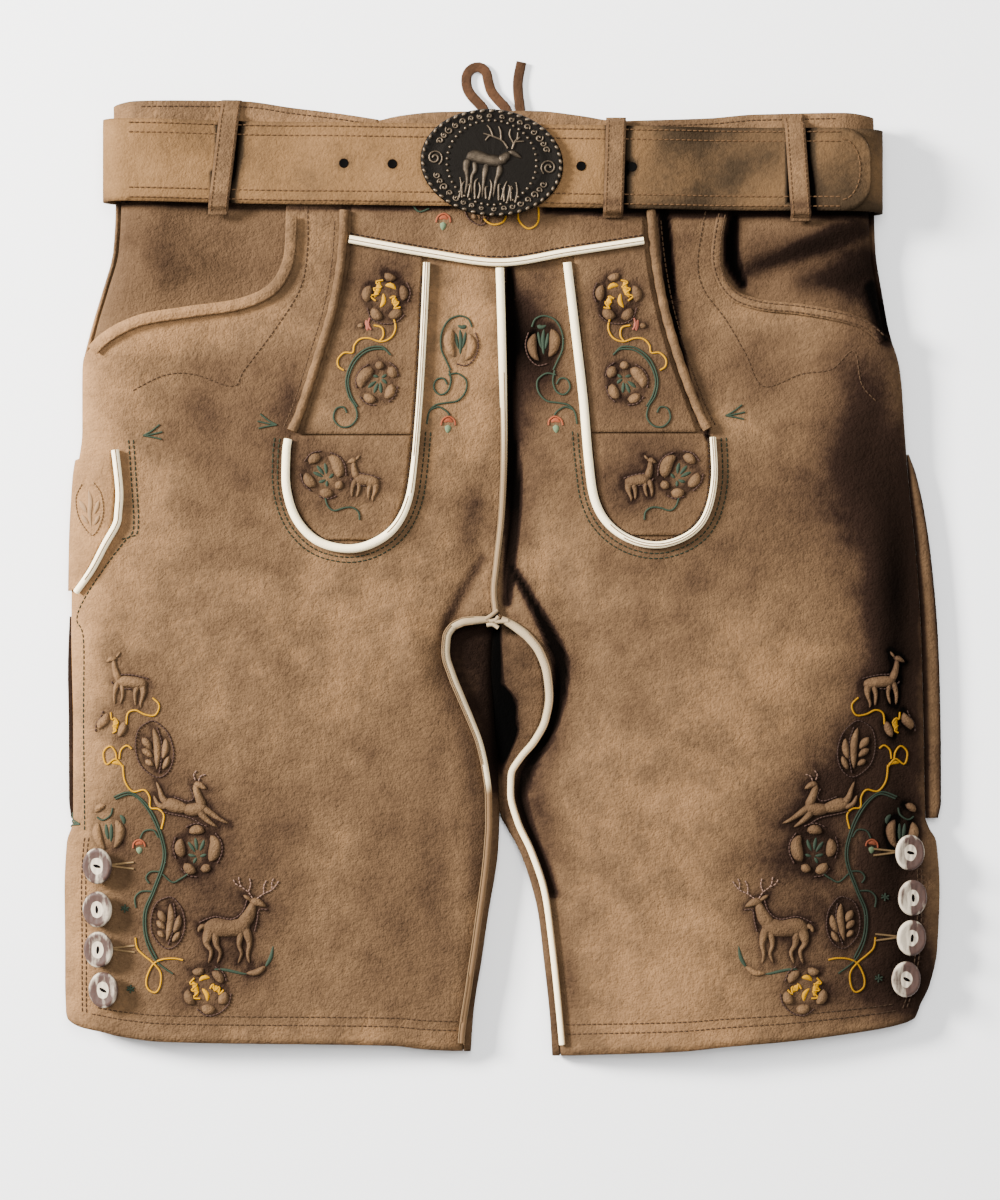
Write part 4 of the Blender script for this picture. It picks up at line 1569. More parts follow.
BUTTON_PROFILE = rows(Turned, (0, 3), (0.14, 3), (0.28, 3), (0.36, 3.05), (0.42, 3.1), (0.48, 3.15),
    (0.6, 3.25), (0.76, 3.5), (0.86, 3.6), (0.94, 3.2), (1, 2.4), (0.99, 1.5), (0.94, 0.8), (0.6, 0.3), (0, 0))
BUTTON_RING_DARK = {LEFT: 1.0, RIGHT: 0.15}
SLOT_TURNS = (76, 4, -6, 62)
LACES = {
    "lace_loop": [(-10, 252.6, 2.2), (-10.4, 259.2, 2.2), (-13.2, 263, 1.8), (-17.2, 267.4, 1.4),
        (-19.8, 272, 1.3), (-20.2, 278, 1.3), (-17.6, 282.2, 1.3), (-13, 283.4, 1.3), (-9.4, 280.6, 1.3),
        (-8, 275, 1.3), (-6.2, 269.6, 1.5), (-1.8, 264.2, 1.8), (2, 259.6, 2.2), (2.4, 252.6, 2.2)],
    "lace_end": [(10.2, 252.4, 2.2), (9.6, 259.4, 2.2), (9, 264, 1.7), (8.3, 270, 1.3), (8.4, 277, 1.3),
        (10.2, 286.2, 1.3)],
}
LACE_HALF_WIDTH = 1.9
LACE_ROUND = 0.9


def belt_middle(x):
    return BELT_MIDDLE_Y - BELT_TILT * x


def belt_top(x):
    """Height of the strap's outer face over the front, where it first lies on the garment."""
    x = np.atleast_1d(np.asarray(x, float))
    over_flap = 1 - ease(*FLAP_EDGE_X, np.abs(x))
    inward = np.clip(x, BELT_FLAT[LEFT], BELT_FLAT[RIGHT])
    low_y = belt_middle(x) - BELT_WIDTH / 2
    garment = np.max([coarse_front_z(inward, low_y + BELT_WIDTH * n / 4) for n in range(5)], axis=0)
    return garment + BELT_EASE + (ON_FLAP + GAP) * over_flap + STRAP_LEATHER


def coarse_front_z(x, y):
    """The front's height without the finest waves and creases."""
    return on_front(x, y)[..., 2] - crease_sum(SMALL_CREASES, x, y) - slow_waves(x, y)


def belt_layer(x):
    return BELT_LAYER * ease(BELT_OVERLAP_X, BELT_START_X, x)


def belt_turn(side, start_z, end_z, count=26):
    middle, tall = (start_z + end_z) / 2, abs(start_z - end_z) / 2
    down = 1 if start_z > end_z else -1
    angle = np.linspace(0, np.pi, count)
    x = BELT_TURN[side] - side * BELT_TURN_REACH * (1 - np.sin(angle))
    return np.stack([x, middle + down * tall * np.cos(angle)], -1)


def belt_path():
    """The strap's outer face from its start under the buckle, round the back, to the tip on the right."""
    left, right = BELT_TURN[LEFT] + BELT_TURN_REACH + 1, BELT_TURN[RIGHT] - BELT_TURN_REACH - 1
    under = np.arange(BELT_START_X + 2, right, 4.0)
    behind = np.linspace(right, left, 60)
    round_x = BELT_TIP_X - BELT_TIP_ROUND
    over = np.concatenate([np.arange(left + 2, round_x - 1, 3.0), np.linspace(round_x, BELT_TIP_X, 16)])
    parts = [np.stack([under, belt_top(under)], -1),
             belt_turn(RIGHT, float(belt_top(190)[0]), BELT_LOW),
             np.stack([behind, np.full(60, BELT_LOW)], -1),
             belt_turn(LEFT, BELT_LOW, float(belt_top(-190)[0])),
             np.stack([over, belt_top(over) + belt_layer(over)], -1)]
    return np.vstack(parts), len(over)


def belt_stain(points, shares):
    """Darker at the edges, by the tip, beside the loops and round the holes."""
    edge = np.abs(2 * shares[:, 1] - 1)
    x, y = points[:, 0], points[:, 1]
    shade = 0.3 * edge ** 10 - 0.35 * (1 - ease(-232, -150, x)) + BELT_RIGHT_DARK * ease(36, 96, x)
    shade += sum(each.dark * bell(x, each.x, each.reach) for each in BELT_SHADES)
    shade += 0.16 * np.sin(x / 21 + 2.0 * np.sin(y / 17)) + 0.12 * np.sin(x / 9.0 - y / 7.0)
    for loop in FRONT_LOOPS:
        share = (loop.top_y - y) / (loop.top_y - loop.low_y)
        beyond = x - loop.top_x - (loop.low_x - loop.top_x) * share - LOOP_WIDTH / 2
        shade += LOOP_SHADE * bell(np.maximum(beyond, 0), 0, LOOP_SHADE_REACH) * (beyond > -LOOP_WIDTH)
    for hole_x in HOLES_X:
        gap = np.hypot(x - hole_x, y - belt_middle(hole_x))
        shade += HOLE_SHADE * np.exp(-((gap / (HOLE_RADIUS + HOLE_SHADE_REACH)) ** 4))
    return shade


def build_belt(strap, thread, dark):
    path, over = belt_path()
    half = BELT_WIDTH / 2
    first_over = len(path) - over

    def place(u, v):
        index = np.rint(u * (len(path) - 1)).astype(int)
        x, z = path[index, 0], path[index, 1]
        near_tip = np.where(index >= first_over, np.clip(x - BELT_TIP_X + BELT_TIP_ROUND, 0, BELT_TIP_ROUND), 0)
        tuck = BELT_TIP_ROUND - np.sqrt(np.maximum(0, BELT_TIP_ROUND ** 2 - near_tip ** 2))
        across = (2 * v - 1) * (half - tuck)
        edge = np.abs(2 * v - 1)
        return np.stack([x, belt_middle(x) + across, z - 0.5 * edge ** 8 + 0.12 * np.sin(x / 13 + 3 * v)], -1)

    leather("belt", len(path) - 1, 16, place, strap, STRAP_LEATHER, slot="belt", stain=belt_stain)
    x = np.arange(BELT_TURN[LEFT] + 15, BELT_TIP_X - BELT_TIP_ROUND - 1, 1.5)
    runs = []
    for edge in (-1, 1):
        for inset in BELT_STITCH_INSETS:
            y = belt_middle(x) + edge * (half - inset)
            runs.append(np.stack([x, y, belt_top(x) + belt_layer(x)], -1))
    tip = np.linspace(-np.pi / 2, np.pi / 2, 24)
    inside = half - 6
    end = np.stack([BELT_TIP_X - BELT_TIP_ROUND - 1 + 10 * np.cos(tip),
                    belt_middle(BELT_TIP_X) + inside * np.sin(tip)], -1)
    runs.append(np.column_stack([end, belt_top(end[:, 0]) + belt_layer(end[:, 0])]))
    paths = [stitch for run in runs for stitch in sewn(run, 3.1, 2.1, BELT_THREAD_RADIUS)]
    threads("belt_stitches", paths, BELT_THREAD_RADIUS, thread, slot="belt", sides=0)
    for number, spot in enumerate(HOLES_X, 1):
        height = float(belt_top(spot)[0] + belt_layer(spot))
        turned("belt_hole_%d" % number, HOLE_PROFILE, HOLE_RADIUS, 24, 1.0, dark,
               (spot, float(belt_middle(spot)), height), slot="belt")


def sewn(run, step, length, radius):
    """Running stitches along a row of points in space, sinking at each end."""
    gone = np.concatenate([[0], np.cumsum(np.linalg.norm(np.diff(run, axis=0), axis=1))])
    count = max(1, int(gone[-1] / step))
    centres = (np.arange(count) + 0.5) * gone[-1] / count
    at = (centres[:, None] + np.array([-0.5, -0.2, 0.2, 0.5]) * length).ravel()
    found = np.stack([np.interp(at, gone, run[:, k]) for k in range(3)], -1)
    found[:, 2] += np.tile([-0.2, 0.6, 0.6, -0.2], count) * radius
    return list(found.reshape(count, 4, 3))


def turned(name, profile, radius, steps, stretch, material, middle, tilt=0.0, node=None, slot="hide",
           shape=None):
    """A closed piece spun from its profile, drawn out along X, shaped, tilted about Y and set in place."""
    bm = bmesh.new()
    ring = [bm.verts.new((row.radius * radius, 0, row.height)) for row in profile]
    for start, end in zip(ring, ring[1:]):
        bm.edges.new((start, end))
    bmesh.ops.spin(bm, geom=bm.verts[:] + bm.edges[:], axis=(0, 0, 1), cent=(0, 0, 0),
                   angle=2 * math.pi, steps=steps, use_merge=True)
    bmesh.ops.remove_doubles(bm, verts=bm.verts, dist=1e-4)
    bmesh.ops.scale(bm, vec=(stretch, 1, 1), verts=bm.verts)
    bmesh.ops.recalc_face_normals(bm, faces=bm.faces)
    lean = np.array([[math.cos(tilt), 0, math.sin(tilt)], [0, 1, 0], [-math.sin(tilt), 0, math.cos(tilt)]])

    def in_place(local):
        shade = np.zeros(len(local)) if shape is None else shape(local)
        return local @ lean.T + np.array(middle), shade

    return keep(formed(name, bm, in_place), material, node, slot)


def buckle_base():
    x = np.arange(BUCKLE_CENTRE.x - BUCKLE_HALF_LENGTH, BUCKLE_CENTRE.x + BUCKLE_HALF_LENGTH, 3.0)
    return float((belt_top(x) + belt_layer(x)).max()) + 0.8


def on_buckle(x, y, lift):
    """A place on the buckle's face: x and y from its middle, along its own tilted axes."""
    x, y, lift = np.broadcast_arrays(np.asarray(x, float), np.asarray(y, float), np.asarray(lift, float))
    radius = np.hypot(x / BUCKLE_HALF_LENGTH, y / BUCKLE_HALF_HEIGHT)
    radii, heights = np.transpose(BUCKLE_PROFILE[:BUCKLE_FACE_ROWS])
    top = np.interp(radius, radii, heights)
    cos, sin = math.cos(BUCKLE_TURN), math.sin(BUCKLE_TURN)
    return np.stack([BUCKLE_CENTRE.x + x * cos - y * sin, BUCKLE_CENTRE.y + x * sin + y * cos,
                     buckle_base() + top + lift], -1)


BUCKLE_STAG = [[(-14.6, 0.6, 2.4), (-10, 2.6, 4), (-3, 1.4, 3.4), (3, 1, 3.8), (7.4, 1.6, 3)],
    [(3.6, 0.4, 3.4), (7.2, 3.6, 2.7), (9.6, 6.6, 1.9)],
    [(8.2, 6.8, 1.5), (11.6, 6, 1.8), (14.4, 4.6, 1.2), (16.4, 3.4, 0.7)],
    [(-12.8, 2, 3), (-13.8, -3.6, 2.1), (-12.8, -8, 1.2), (-12.4, -13, 1), (-13.2, -19, 0.9)],
    [(-9.6, 0.4, 2.4), (-8.6, -5, 1.5), (-10.2, -9, 1), (-9.4, -18.6, 0.8)],
    [(-2.2, 0.6, 2.4), (-3.2, -5, 1.8), (-3.4, -11, 1.1), (-3.6, -20, 0.9)],
    [(4.6, 0, 2.8), (4.6, -5, 1.9), (3.2, -10, 1.1), (2.4, -19.4, 0.9)]]
BUCKLE_LINES = [[(8, 8.4, 1), (5, 12, 1), (0, 14, 1), (-6, 15.4, 0.8)],
    [(4, 12.4, 1), (3.4, 17, 1), (2, 20, 0.7)], [(-0.6, 14.2, 1), (-2.4, 18, 0.9), (-4.4, 20, 0.7)],
    [(-2.4, 14.8, 1), (-4.6, 11.6, 0.7)], [(10.4, 8.2, 1), (11.6, 12.4, 1), (14, 15, 0.8)],
    [(11.2, 11, 1), (8.4, 15.6, 0.9), (8.6, 19, 0.7)], [(12.8, 13.4, 1), (12.8, 17.4, 0.8)],
    [(12, 12.4, 1), (16.4, 13, 0.7)]]
GRASS_X = (-16, -14.4, -11.2, -7.4, -5.6, -1.4, 0.4, 5.6, 7, 8.6, 10.4, 12.2, 14.6)
Curl = namedtuple("Curl", "turn size hand")
CURLS = rows(Curl, (38, 2.2, 1), (56, 1.8, -1), (74, 1.5, 1), (22, 1.9, -1), (30, 1.6, 1), (47, 1.7, 1),
    (65, 1.5, -1), (84, 1.3, -1))
# The two beaded rims: how many beads, where they stand, and each bead's half length and half width.
BeadRim = namedtuple("BeadRim", "count half_x half_y long wide")
BEAD_RIMS = rows(BeadRim, (46, 37.6, 28.1, 1.5, 0.95), (44, 24.4, 23, 0.9, 0.9))
BEAD_HEIGHT = 0.95
BEAD_LIFT = 0.1
BEAD_SLANT = 0.35


def scroll_lines(side):
    """Rosette and curling leaves between the two beaded rims, at one end of the buckle."""
    found = []
    for turn, size, hand in [(0, 4.4, 1)] + [(up * curl.turn, curl.size, up * curl.hand)
                                             for curl in CURLS for up in (-1, 1)]:
        angle = np.linspace(0, (3.3 if turn == 0 else 2.2) * np.pi, 28)
        radius = size * (0.2 + 0.8 * angle / angle[-1])
        middle_x = side * BUCKLE_HALF_LENGTH * 0.8 * math.cos(math.radians(turn))
        middle_y = BUCKLE_HALF_HEIGHT * 0.865 * math.sin(math.radians(turn))
        found.append(np.stack([middle_x + side * radius * np.cos(hand * angle),
                               middle_y + radius * np.sin(hand * angle), np.linspace(1.2, 0.7, 28)], -1))
    return found


def build_buckle(metal, dull_metal):
    def shape(local):
        x, y = local[:, 0].copy(), local[:, 1].copy()
        radius = np.hypot(x / BUCKLE_HALF_LENGTH, y / BUCKLE_HALF_HEIGHT)
        cos, sin = math.cos(BUCKLE_TURN), math.sin(BUCKLE_TURN)
        local[:, 0], local[:, 1] = x * cos - y * sin, x * sin + y * cos
        local[:, 2] += 0.12 * np.sin(x * 1.9) * np.sin(y * 2.3) * (radius < 0.62) * (local[:, 2] > 1)
        return np.full(len(local), 1.4)

    turned("buckle_plate", BUCKLE_PROFILE, BUCKLE_HALF_HEIGHT, 96, BUCKLE_HALF_LENGTH / BUCKLE_HALF_HEIGHT,
           metal, (*BUCKLE_CENTRE, buckle_base()), 0.0, "buckle", "gunmetal", shape)
    bm, beads = bmesh.new(), []
    for rim in BEAD_RIMS:
        for angle in (2 * math.pi * n / rim.count for n in range(rim.count)):
            cos, sin = math.cos(angle), math.sin(angle)
            x, y = rim.half_x * cos, rim.half_y * sin
            made = bmesh.ops.create_icosphere(bm, subdivisions=2, radius=1.0)["verts"]
            slope = math.atan2(rim.half_y * cos, -rim.half_x * sin) + BEAD_SLANT
            bead = np.array([vert.co for vert in made]) * (rim.long, rim.wide, BEAD_HEIGHT)
            points = on_buckle(x + bead[:, 0] * math.cos(slope) - bead[:, 1] * math.sin(slope),
                               y + bead[:, 0] * math.sin(slope) + bead[:, 1] * math.cos(slope), 0.0)
            points[:, 2] = on_buckle(x, y, BEAD_LIFT)[2] + bead[:, 2]
            beads.append(points)
    keep(formed("buckle_beads", bm, lambda local: (np.vstack(beads), np.full(len(local), 0.3))), metal,
         slot="gunmetal")
    strokes = [Stroke(np.array(path, float), 1.5, 0.0) for path in BUCKLE_STAG]
    pads("buckle_relief", strokes, metal, on_buckle, "gunmetal", 0.74)
    lines = [np.array(path, float) for path in BUCKLE_LINES] + scroll_lines(LEFT) + scroll_lines(RIGHT)
    lines += [np.array([(x, -20.5 + 0.3 * (n % 3), 1.1), (x + 0.7 * (-1) ** n, -15 + n % 4, 1.0),
                        (x - 0.5 + n % 2, -9.5 - 2 * (n % 3), 0.5)]) for n, x in enumerate(GRASS_X)]
    paths = []
    for line in lines:
        line = route(line, 12) if len(line) < 12 else line
        paths.append(np.column_stack([on_buckle(line[:, 0], line[:, 1], 0.35), line[:, 2]]))
    threads("buckle_scrolls", paths, 0.62, dull_metal, slot="gunmetal", sides=2)


def loop_stain(points, shares):
    """Handled edges, and shade where the loop is sewn down below the belt."""
    across, along = shares[:, :2].T
    return 0.05 + 0.35 * np.abs(2 * across - 1) ** 6 + 0.55 * bell(along, 0.86, 0.05) + 0.4 * along ** 20


def build_front_loops(hide, thread):
    """Each loop leaves the waistband above the belt, crosses it and is sewn down below it."""
    paths = []
    for loop in FRONT_LOOPS:
        layers = BELT_LAYER if loop.low_x > 0 else 0.0
        flap = ON_FLAP + GAP if abs(loop.low_x) < FLAP_EDGE_X[0] else 0.0
        high = belt_middle(loop.top_x) + BELT_WIDTH / 2
        low = belt_middle(loop.low_x) - BELT_WIDTH / 2
        stops = [(loop.top_y, 0.0)] + [(high + step.beyond, step.rise) for step in LOOP_STEPS]
        stops += [(low - step.beyond, step.rise) for step in reversed(LOOP_STEPS)] + [(loop.low_y, 0.0)]
        rise_at = smooth_table([stop for stop in stops if loop.low_y <= stop[0] <= loop.top_y])

        def place(u, v, loop=loop, layers=layers, flap=flap, rise_at=rise_at):
            y = loop.top_y + (loop.low_y - loop.top_y) * v
            x = loop.top_x + (loop.low_x - loop.top_x) * v + (u - 0.5) * LOOP_WIDTH
            rest = coarse_front_z(x, np.minimum(y, LOOP_TOP_Y)) + LOOP_LEATHER + LOOP_REST + flap
            over = belt_top(x) + layers + LOOP_CLEAR + LOOP_LEATHER
            z = rest + (over - rest) * rise_at(y) - LOOP_ROUND * np.abs(2 * u - 1) ** 4
            return np.stack([x, y, z], -1)

        leather(loop.name, 10, 60, place, hide, LOOP_LEATHER, flip=True, stain=loop_stain)
        for across in (0.13, 0.87):
            v = np.linspace(0.03, 0.97, 60)
            paths += sewn(place(np.full(60, across), v), 2.6, 1.8, 0.35)
    threads("loop_stitches", paths, 0.35, thread, sides=0)
    for name, x in BACK_LOOP_X.items():
        def place(u, v, x=x):
            return np.stack([x + (u - 0.5) * LOOP_WIDTH, BACK_LOOP_LOW_Y + BACK_LOOP_LENGTH * v, 0 * u], -1)

        leather(name, 6, 30, place, hide, LOOP_LEATHER, flip=True)


SLOT_PROFILE = rows(Turned, (0, 0.35), (0.7, 0.3), (1, 0), (0, -0.3))
SLOT_RADIUS = 0.85
SLOT_RISE = 3.05
# The buttons that show their ties, the steps of a tie, and the threads of the others' knots.
TIED = (1, 3)
TIE_STEPS = ((0.6, 0.3), (1.15, 1), (1.7, 1.6))
TIE_RISES = (-1.2, 1.0)
KNOT_TURNS = (0.3, 1.5, 2.6)
KNOT_REACH = 2.2


def build_buttons(horn, dark, pale, green):
    def shape(local, side):
        radius = np.hypot(local[:, 0] / BUTTON_OVAL, local[:, 1]) / BUTTON_RADIUS
        top = local[:, 2] > 2.3
        local[:, 2] += top * 0.13 * np.sin(local[:, 0] * 2.1 + 0.6 * np.sin(local[:, 1] * 0.7))
        middle = np.hypot(local[:, 0] / 0.8, local[:, 1]) / BUTTON_RADIUS
        ring = BUTTON_RING_DARK[side] * ease(0.4, 0.46, middle) - 2.5 * ease(0.46, 0.4, middle)
        turned_away = 1.5 * ease(-3.5, 2.5, local[:, 0]) * (side == RIGHT)
        return np.where(top, ring + turned_away - 0.5 * ease(0.84, 0.95, radius), 1.2)

    ties, knots = [], []
    for side, word in SIDES:
        for number, spot in enumerate(BUTTONS[side], 1):
            middle = on_front(spot.x, spot.y, BUTTON_CLEARANCE)
            node = "button_%s_%d" % (word, number)
            turned(node + "_horn", BUTTON_PROFILE, BUTTON_RADIUS, 36, BUTTON_OVAL, horn, middle,
                   side * BUTTON_TILT, node, "horn", lambda local, side=side: shape(local, side))
            turned(node + "_slot", SLOT_PROFILE, SLOT_RADIUS, 16, 1.0, dark, middle, side * BUTTON_TILT, None,
                   "horn", lambda local, turn=math.radians(SLOT_TURNS[number - 1]): slot_shape(local, turn))
            reach = -side * (BUTTON_RADIUS + 1.0)
            if number in TIED:
                ties.extend([(spot.x + reach * out, spot.y + rise * up) for out, up in TIE_STEPS]
                            for rise in TIE_RISES)
            else:
                for turn in KNOT_TURNS:
                    dx, dy = KNOT_REACH * math.cos(turn), KNOT_REACH * math.sin(turn)
                    knots.append([(spot.x + reach * 1.25 - dx, spot.y - dy),
                                  (spot.x + reach * 1.25 + dx, spot.y + dy)])
    threads("button_ties", [laid(route(path, 6), 0.35) for path in ties], 0.6, pale, sides=1)
    threads("button_knots", [laid(route(path, 4), 0.35) for path in knots], 0.55, green, sides=1)


def slot_shape(local, turn):
    """Draws the small round out to a slot, turns it and lifts it to the top of the button."""
    x, y = local[:, 0] * 1.1, local[:, 1] * 2.7
    local[:, 0], local[:, 1] = x * math.cos(turn) - y * math.sin(turn), x * math.sin(turn) + y * math.cos(turn)
    local[:, 2] += SLOT_RISE
    return np.full(len(local), 1.0)


def build_laces(lace):
    """Each lace's piece and its path."""
    found = []
    for node, stops in LACES.items():
        path = route(stops, 40)
        found.append((node, threads(node + "_leather", [path], LACE_ROUND, lace, node, "lace", sides=2,
                                    flat=LACE_HALF_WIDTH), path))
    return found


# ---------------------------------------------------------------- sewing and embroidery
FACING = {
    LEFT: [(-107.3, 206.3), (-107.3, 181.5), (-111.7, 159.5), (-125.4, 137.5), (-141.9, 115.5), (-148.5, 106.2),
           (-170, 112.8), (-186, 112), (-203, 103.5)],
    RIGHT: [(111.1, 202.4), (106.7, 176), (110, 159.5), (122.1, 143), (133.1, 123.8), (142.5, 106.2),
            (163.4, 112.8), (179.9, 115.5), (192, 125.4), (196.4, 107.3), (204.6, 97.9)],
}
POCKET_STITCH = [(-202.4, 77), (-200.8, 55), (-199.7, 27.5), (-206.3, 22), (-218.9, 5.5), (-229.9, -11),
    (-233.8, -22), (-229.9, -33), (-230, -80), (-229.4, -137.5)]
CROW_FEET = [(-124, 85, 1), (-197, 79, -1), (122, 90, -1), (-232, -134, 1)]
# The side step and the length of each of a crow foot's three stitches.
CROW_TOES = ((6, 9), (2, 10.5), (-2, 10))
HEM_INSET = 6.6
VENT_TOP_Y = -140.0
VENT_WIDTH = 20.5
SEAM_STEP = 1.5
HEM_STITCH_INSETS = (HEM_INSET, HEM_INSET + 3.0)
VENT_STITCH_INSETS = (5, 8)
TAB_STITCH_INSETS = (4.6, 7.4)
TAB_TOP_Y = 82
TAB_INNER_INSET = 2.6
TAB_INNER_TOP_Y = 168
BAND_STITCH_INSETS = (1.6, 5)
WELT_STITCH_INSET = 5
WELT_STITCH_TOP_Y = 198
THREAD_STEP = 1.1
THREAD_LIFT = 0.35
OUTLINE_THREADS = ("dark", "pale", "paler")
OUTLINE_RADIUS = 0.4


def seam_runs():
    """Every sewn line as (thread, points in space)."""
    found = []
    for side, _ in SIDES:
        for inset in HEM_STITCH_INSETS:
            row = HEM_CORNER_Y + inset
            along = np.arange(4.0, float(section_length(side, row)) - 25 - inset, SEAM_STEP)
            found.append(("hem", front_point(side, row, along)))
        for inset in VENT_STITCH_INSETS:
            levels = np.arange(HEM_CORNER_Y + HEM_INSET, VENT_TOP_Y, SEAM_STEP)
            found.append(("hem", front_point(side, levels, section_length(side, levels) - VENT_WIDTH - inset)))
        tab = route(TAB_LINE[side], 220)
        for inset in TAB_STITCH_INSETS:
            line = shifted(tab, side * inset)
            found.append(("green", laid(line[line[:, 1] < TAB_TOP_Y], 0.0)))
        inner = shifted(tab, -side * TAB_INNER_INSET)
        found.append(("dark", laid(inner[inner[:, 1] < TAB_INNER_TOP_Y], ON_FLAP)))
        mouth = mouth_before(side, 4.0)
        for inset in BAND_STITCH_INSETS:
            found.append(("hem", laid(shifted(mouth, side * inset), BAND_LIFT + THIN_LEATHER)))
        found.append(("hem", laid(route(FACING[side], 160), 0.0)))
        top = smooth_table(FRONT_BAND_TOP[side])
        xs = np.linspace(FRONT_BAND_END[side] + side * 2, side * 190 - 8, 120)
        found.append(("hem", laid(np.stack([xs, top(xs) - 3.2], -1), 0.0)))
        line = shifted(route(WELT[side], 90), -side * WELT_STITCH_INSET)
        found.append(("hem", laid(line[line[:, 1] < WELT_STITCH_TOP_Y], ON_FLAP)))
    v_line = route(V_LINE, 90)
    found.append(("dark", laid(v_line + (0, 3.4), ON_FLAP)))
    found.append(("green", laid(route(POCKET_STITCH, 200), 0.0)))
    found.append(("green", laid(route(POCKET_STITCH[:4], 60) + (-2.6, 0), 0.0)))
    return found


def build_sewing(materials):
    runs = seam_runs()
    for thread in ("hem", "green", "dark"):
        paths = [stitch for kind, run in runs if kind == thread for stitch in sewn(run, 2.9, 2.0, 0.36)]
        threads("sewing_" + thread, paths, 0.36, materials["sewing_" + thread], sides=0)
    feet = []
    for x, y, way in CROW_FEET:
        for dy, reach in CROW_TOES:
            toe = [(x, y), (x - way * reach * 0.5, y + dy * 0.4), (x - way * reach, y + dy)]
            feet.append(laid(route(toe, 6), 0.3))
    threads("crow_feet", feet, 0.5, materials["green"], sides=1)


def build_embroidery(materials, relief, thread_radius):
    for side, word in SIDES:
        strokes, by_thread = {}, {}
        for thread, path, lift in LINES:
            if (path[:, 0].mean() < 0) != (side == LEFT):
                continue
            if is_pad(thread, path):
                strokes.setdefault(thread, []).append(Stroke(path, PAD_HEIGHT[thread] * relief, lift))
            else:
                line = route(path, max(6, int(route_length(path) / THREAD_STEP)))
                line = np.column_stack([laid(line, lift + THREAD_LIFT), line[:, 2]])
                by_thread.setdefault(thread, []).append(line)
        for thread, found in strokes.items():
            pads("embroidery_%s_%s" % (word, thread), found, materials[thread], on_front)
        for thread, found in by_thread.items():
            if thread in OUTLINE_THREADS:
                found = [stitch for run in found for stitch in sewn(run[:, :3], 1.9, 1.35, OUTLINE_RADIUS)]
                threads("outline_%s_%s" % (word, thread), found, OUTLINE_RADIUS, materials[thread], sides=0)
            else:
                threads("thread_%s_%s" % (word, thread), found, thread_radius, materials[thread], sides=2)


# ---------------------------------------------------------------- add-on: settings, operators and panel
def colour_setting(name, description, value):
    return FloatVectorProperty(name=name, description=description, subtype="COLOR", size=3, min=0, max=1,
                               default=value)


def length_setting(name, description, value, low, high):
    return FloatProperty(name=name, description=description, unit="LENGTH", subtype="DISTANCE", precision=5,
                         default=value, min=low, max=high)


class LederhosenSettings(bpy.types.PropertyGroup):
    """Sizes and colours of the garment's look."""

    leather: length_setting("Hide", "Thickness of the panels", 0.0018, 0.001, 0.003)
    thread: length_setting("Thread", "Radius of the embroidery thread", 0.00052, 0.0002, 0.001)
    relief: FloatProperty(name="Relief", description="How far the padded shapes stand up, as a share",
                          default=1.0, min=0.0, max=2.0)
    nap: FloatProperty(name="Nap", description="Strength of the hide's raised nap", default=0.7, min=0, max=1)
    hide: colour_setting("Hide colour", "Middle shade of the suede", srgb(86, 67, 49))
    hide_dark: colour_setting("Dark hide", "Shade of the stained and handled places", srgb(41, 31, 26))
    hide_pale: colour_setting("Pale hide", "Shade where the nap is rubbed", srgb(132, 99, 68))
    belt: colour_setting("Belt colour", "Colour of the strap", srgb(98, 74, 50))
    piping: colour_setting("Piping colour", "Colour of the piping's white leather", srgb(254, 234, 190))
    lace: colour_setting("Lace colour", "Colour of the leather lace", srgb(58, 43, 33))
    metal: colour_setting("Buckle colour", "Colour of the buckle's rubbed metal", srgb(100, 87, 72))
    horn: colour_setting("Antler colour", "Pale shade of the antler buttons", srgb(168, 155, 136))
    horn_brown: colour_setting("Antler streaks", "Brown shade of the antler buttons", srgb(62, 42, 34))
    yellow: colour_setting("Yellow thread", "Colour of the flower thread", srgb(172, 122, 8))
    green: colour_setting("Green thread", "Colour of the leaf and stem thread", srgb(46, 56, 45))
    mint: colour_setting("Mint thread", "Colour of the nuts", srgb(94, 108, 82))
    orange: colour_setting("Orange thread", "Colour of the nut caps", srgb(128, 68, 46))
    pink: colour_setting("Pink thread", "Colour of the small nuts on the flap", srgb(130, 74, 60))


def hide_of(context, name="hide_suede", **changes):
    look = context.scene.lederhosen
    return suede(name, tuple(look.hide), tuple(look.hide_dark), tuple(look.hide_pale), nap=look.nap, **changes)


def dark_hide_of(context):
    look = context.scene.lederhosen
    middle = tuple(0.62 * a + 0.38 * b for a, b in zip(look.hide, look.hide_dark))
    return suede("hide_dark_suede", middle, tuple(0.6 * value for value in look.hide_dark), tuple(look.hide),
                 nap=look.nap)


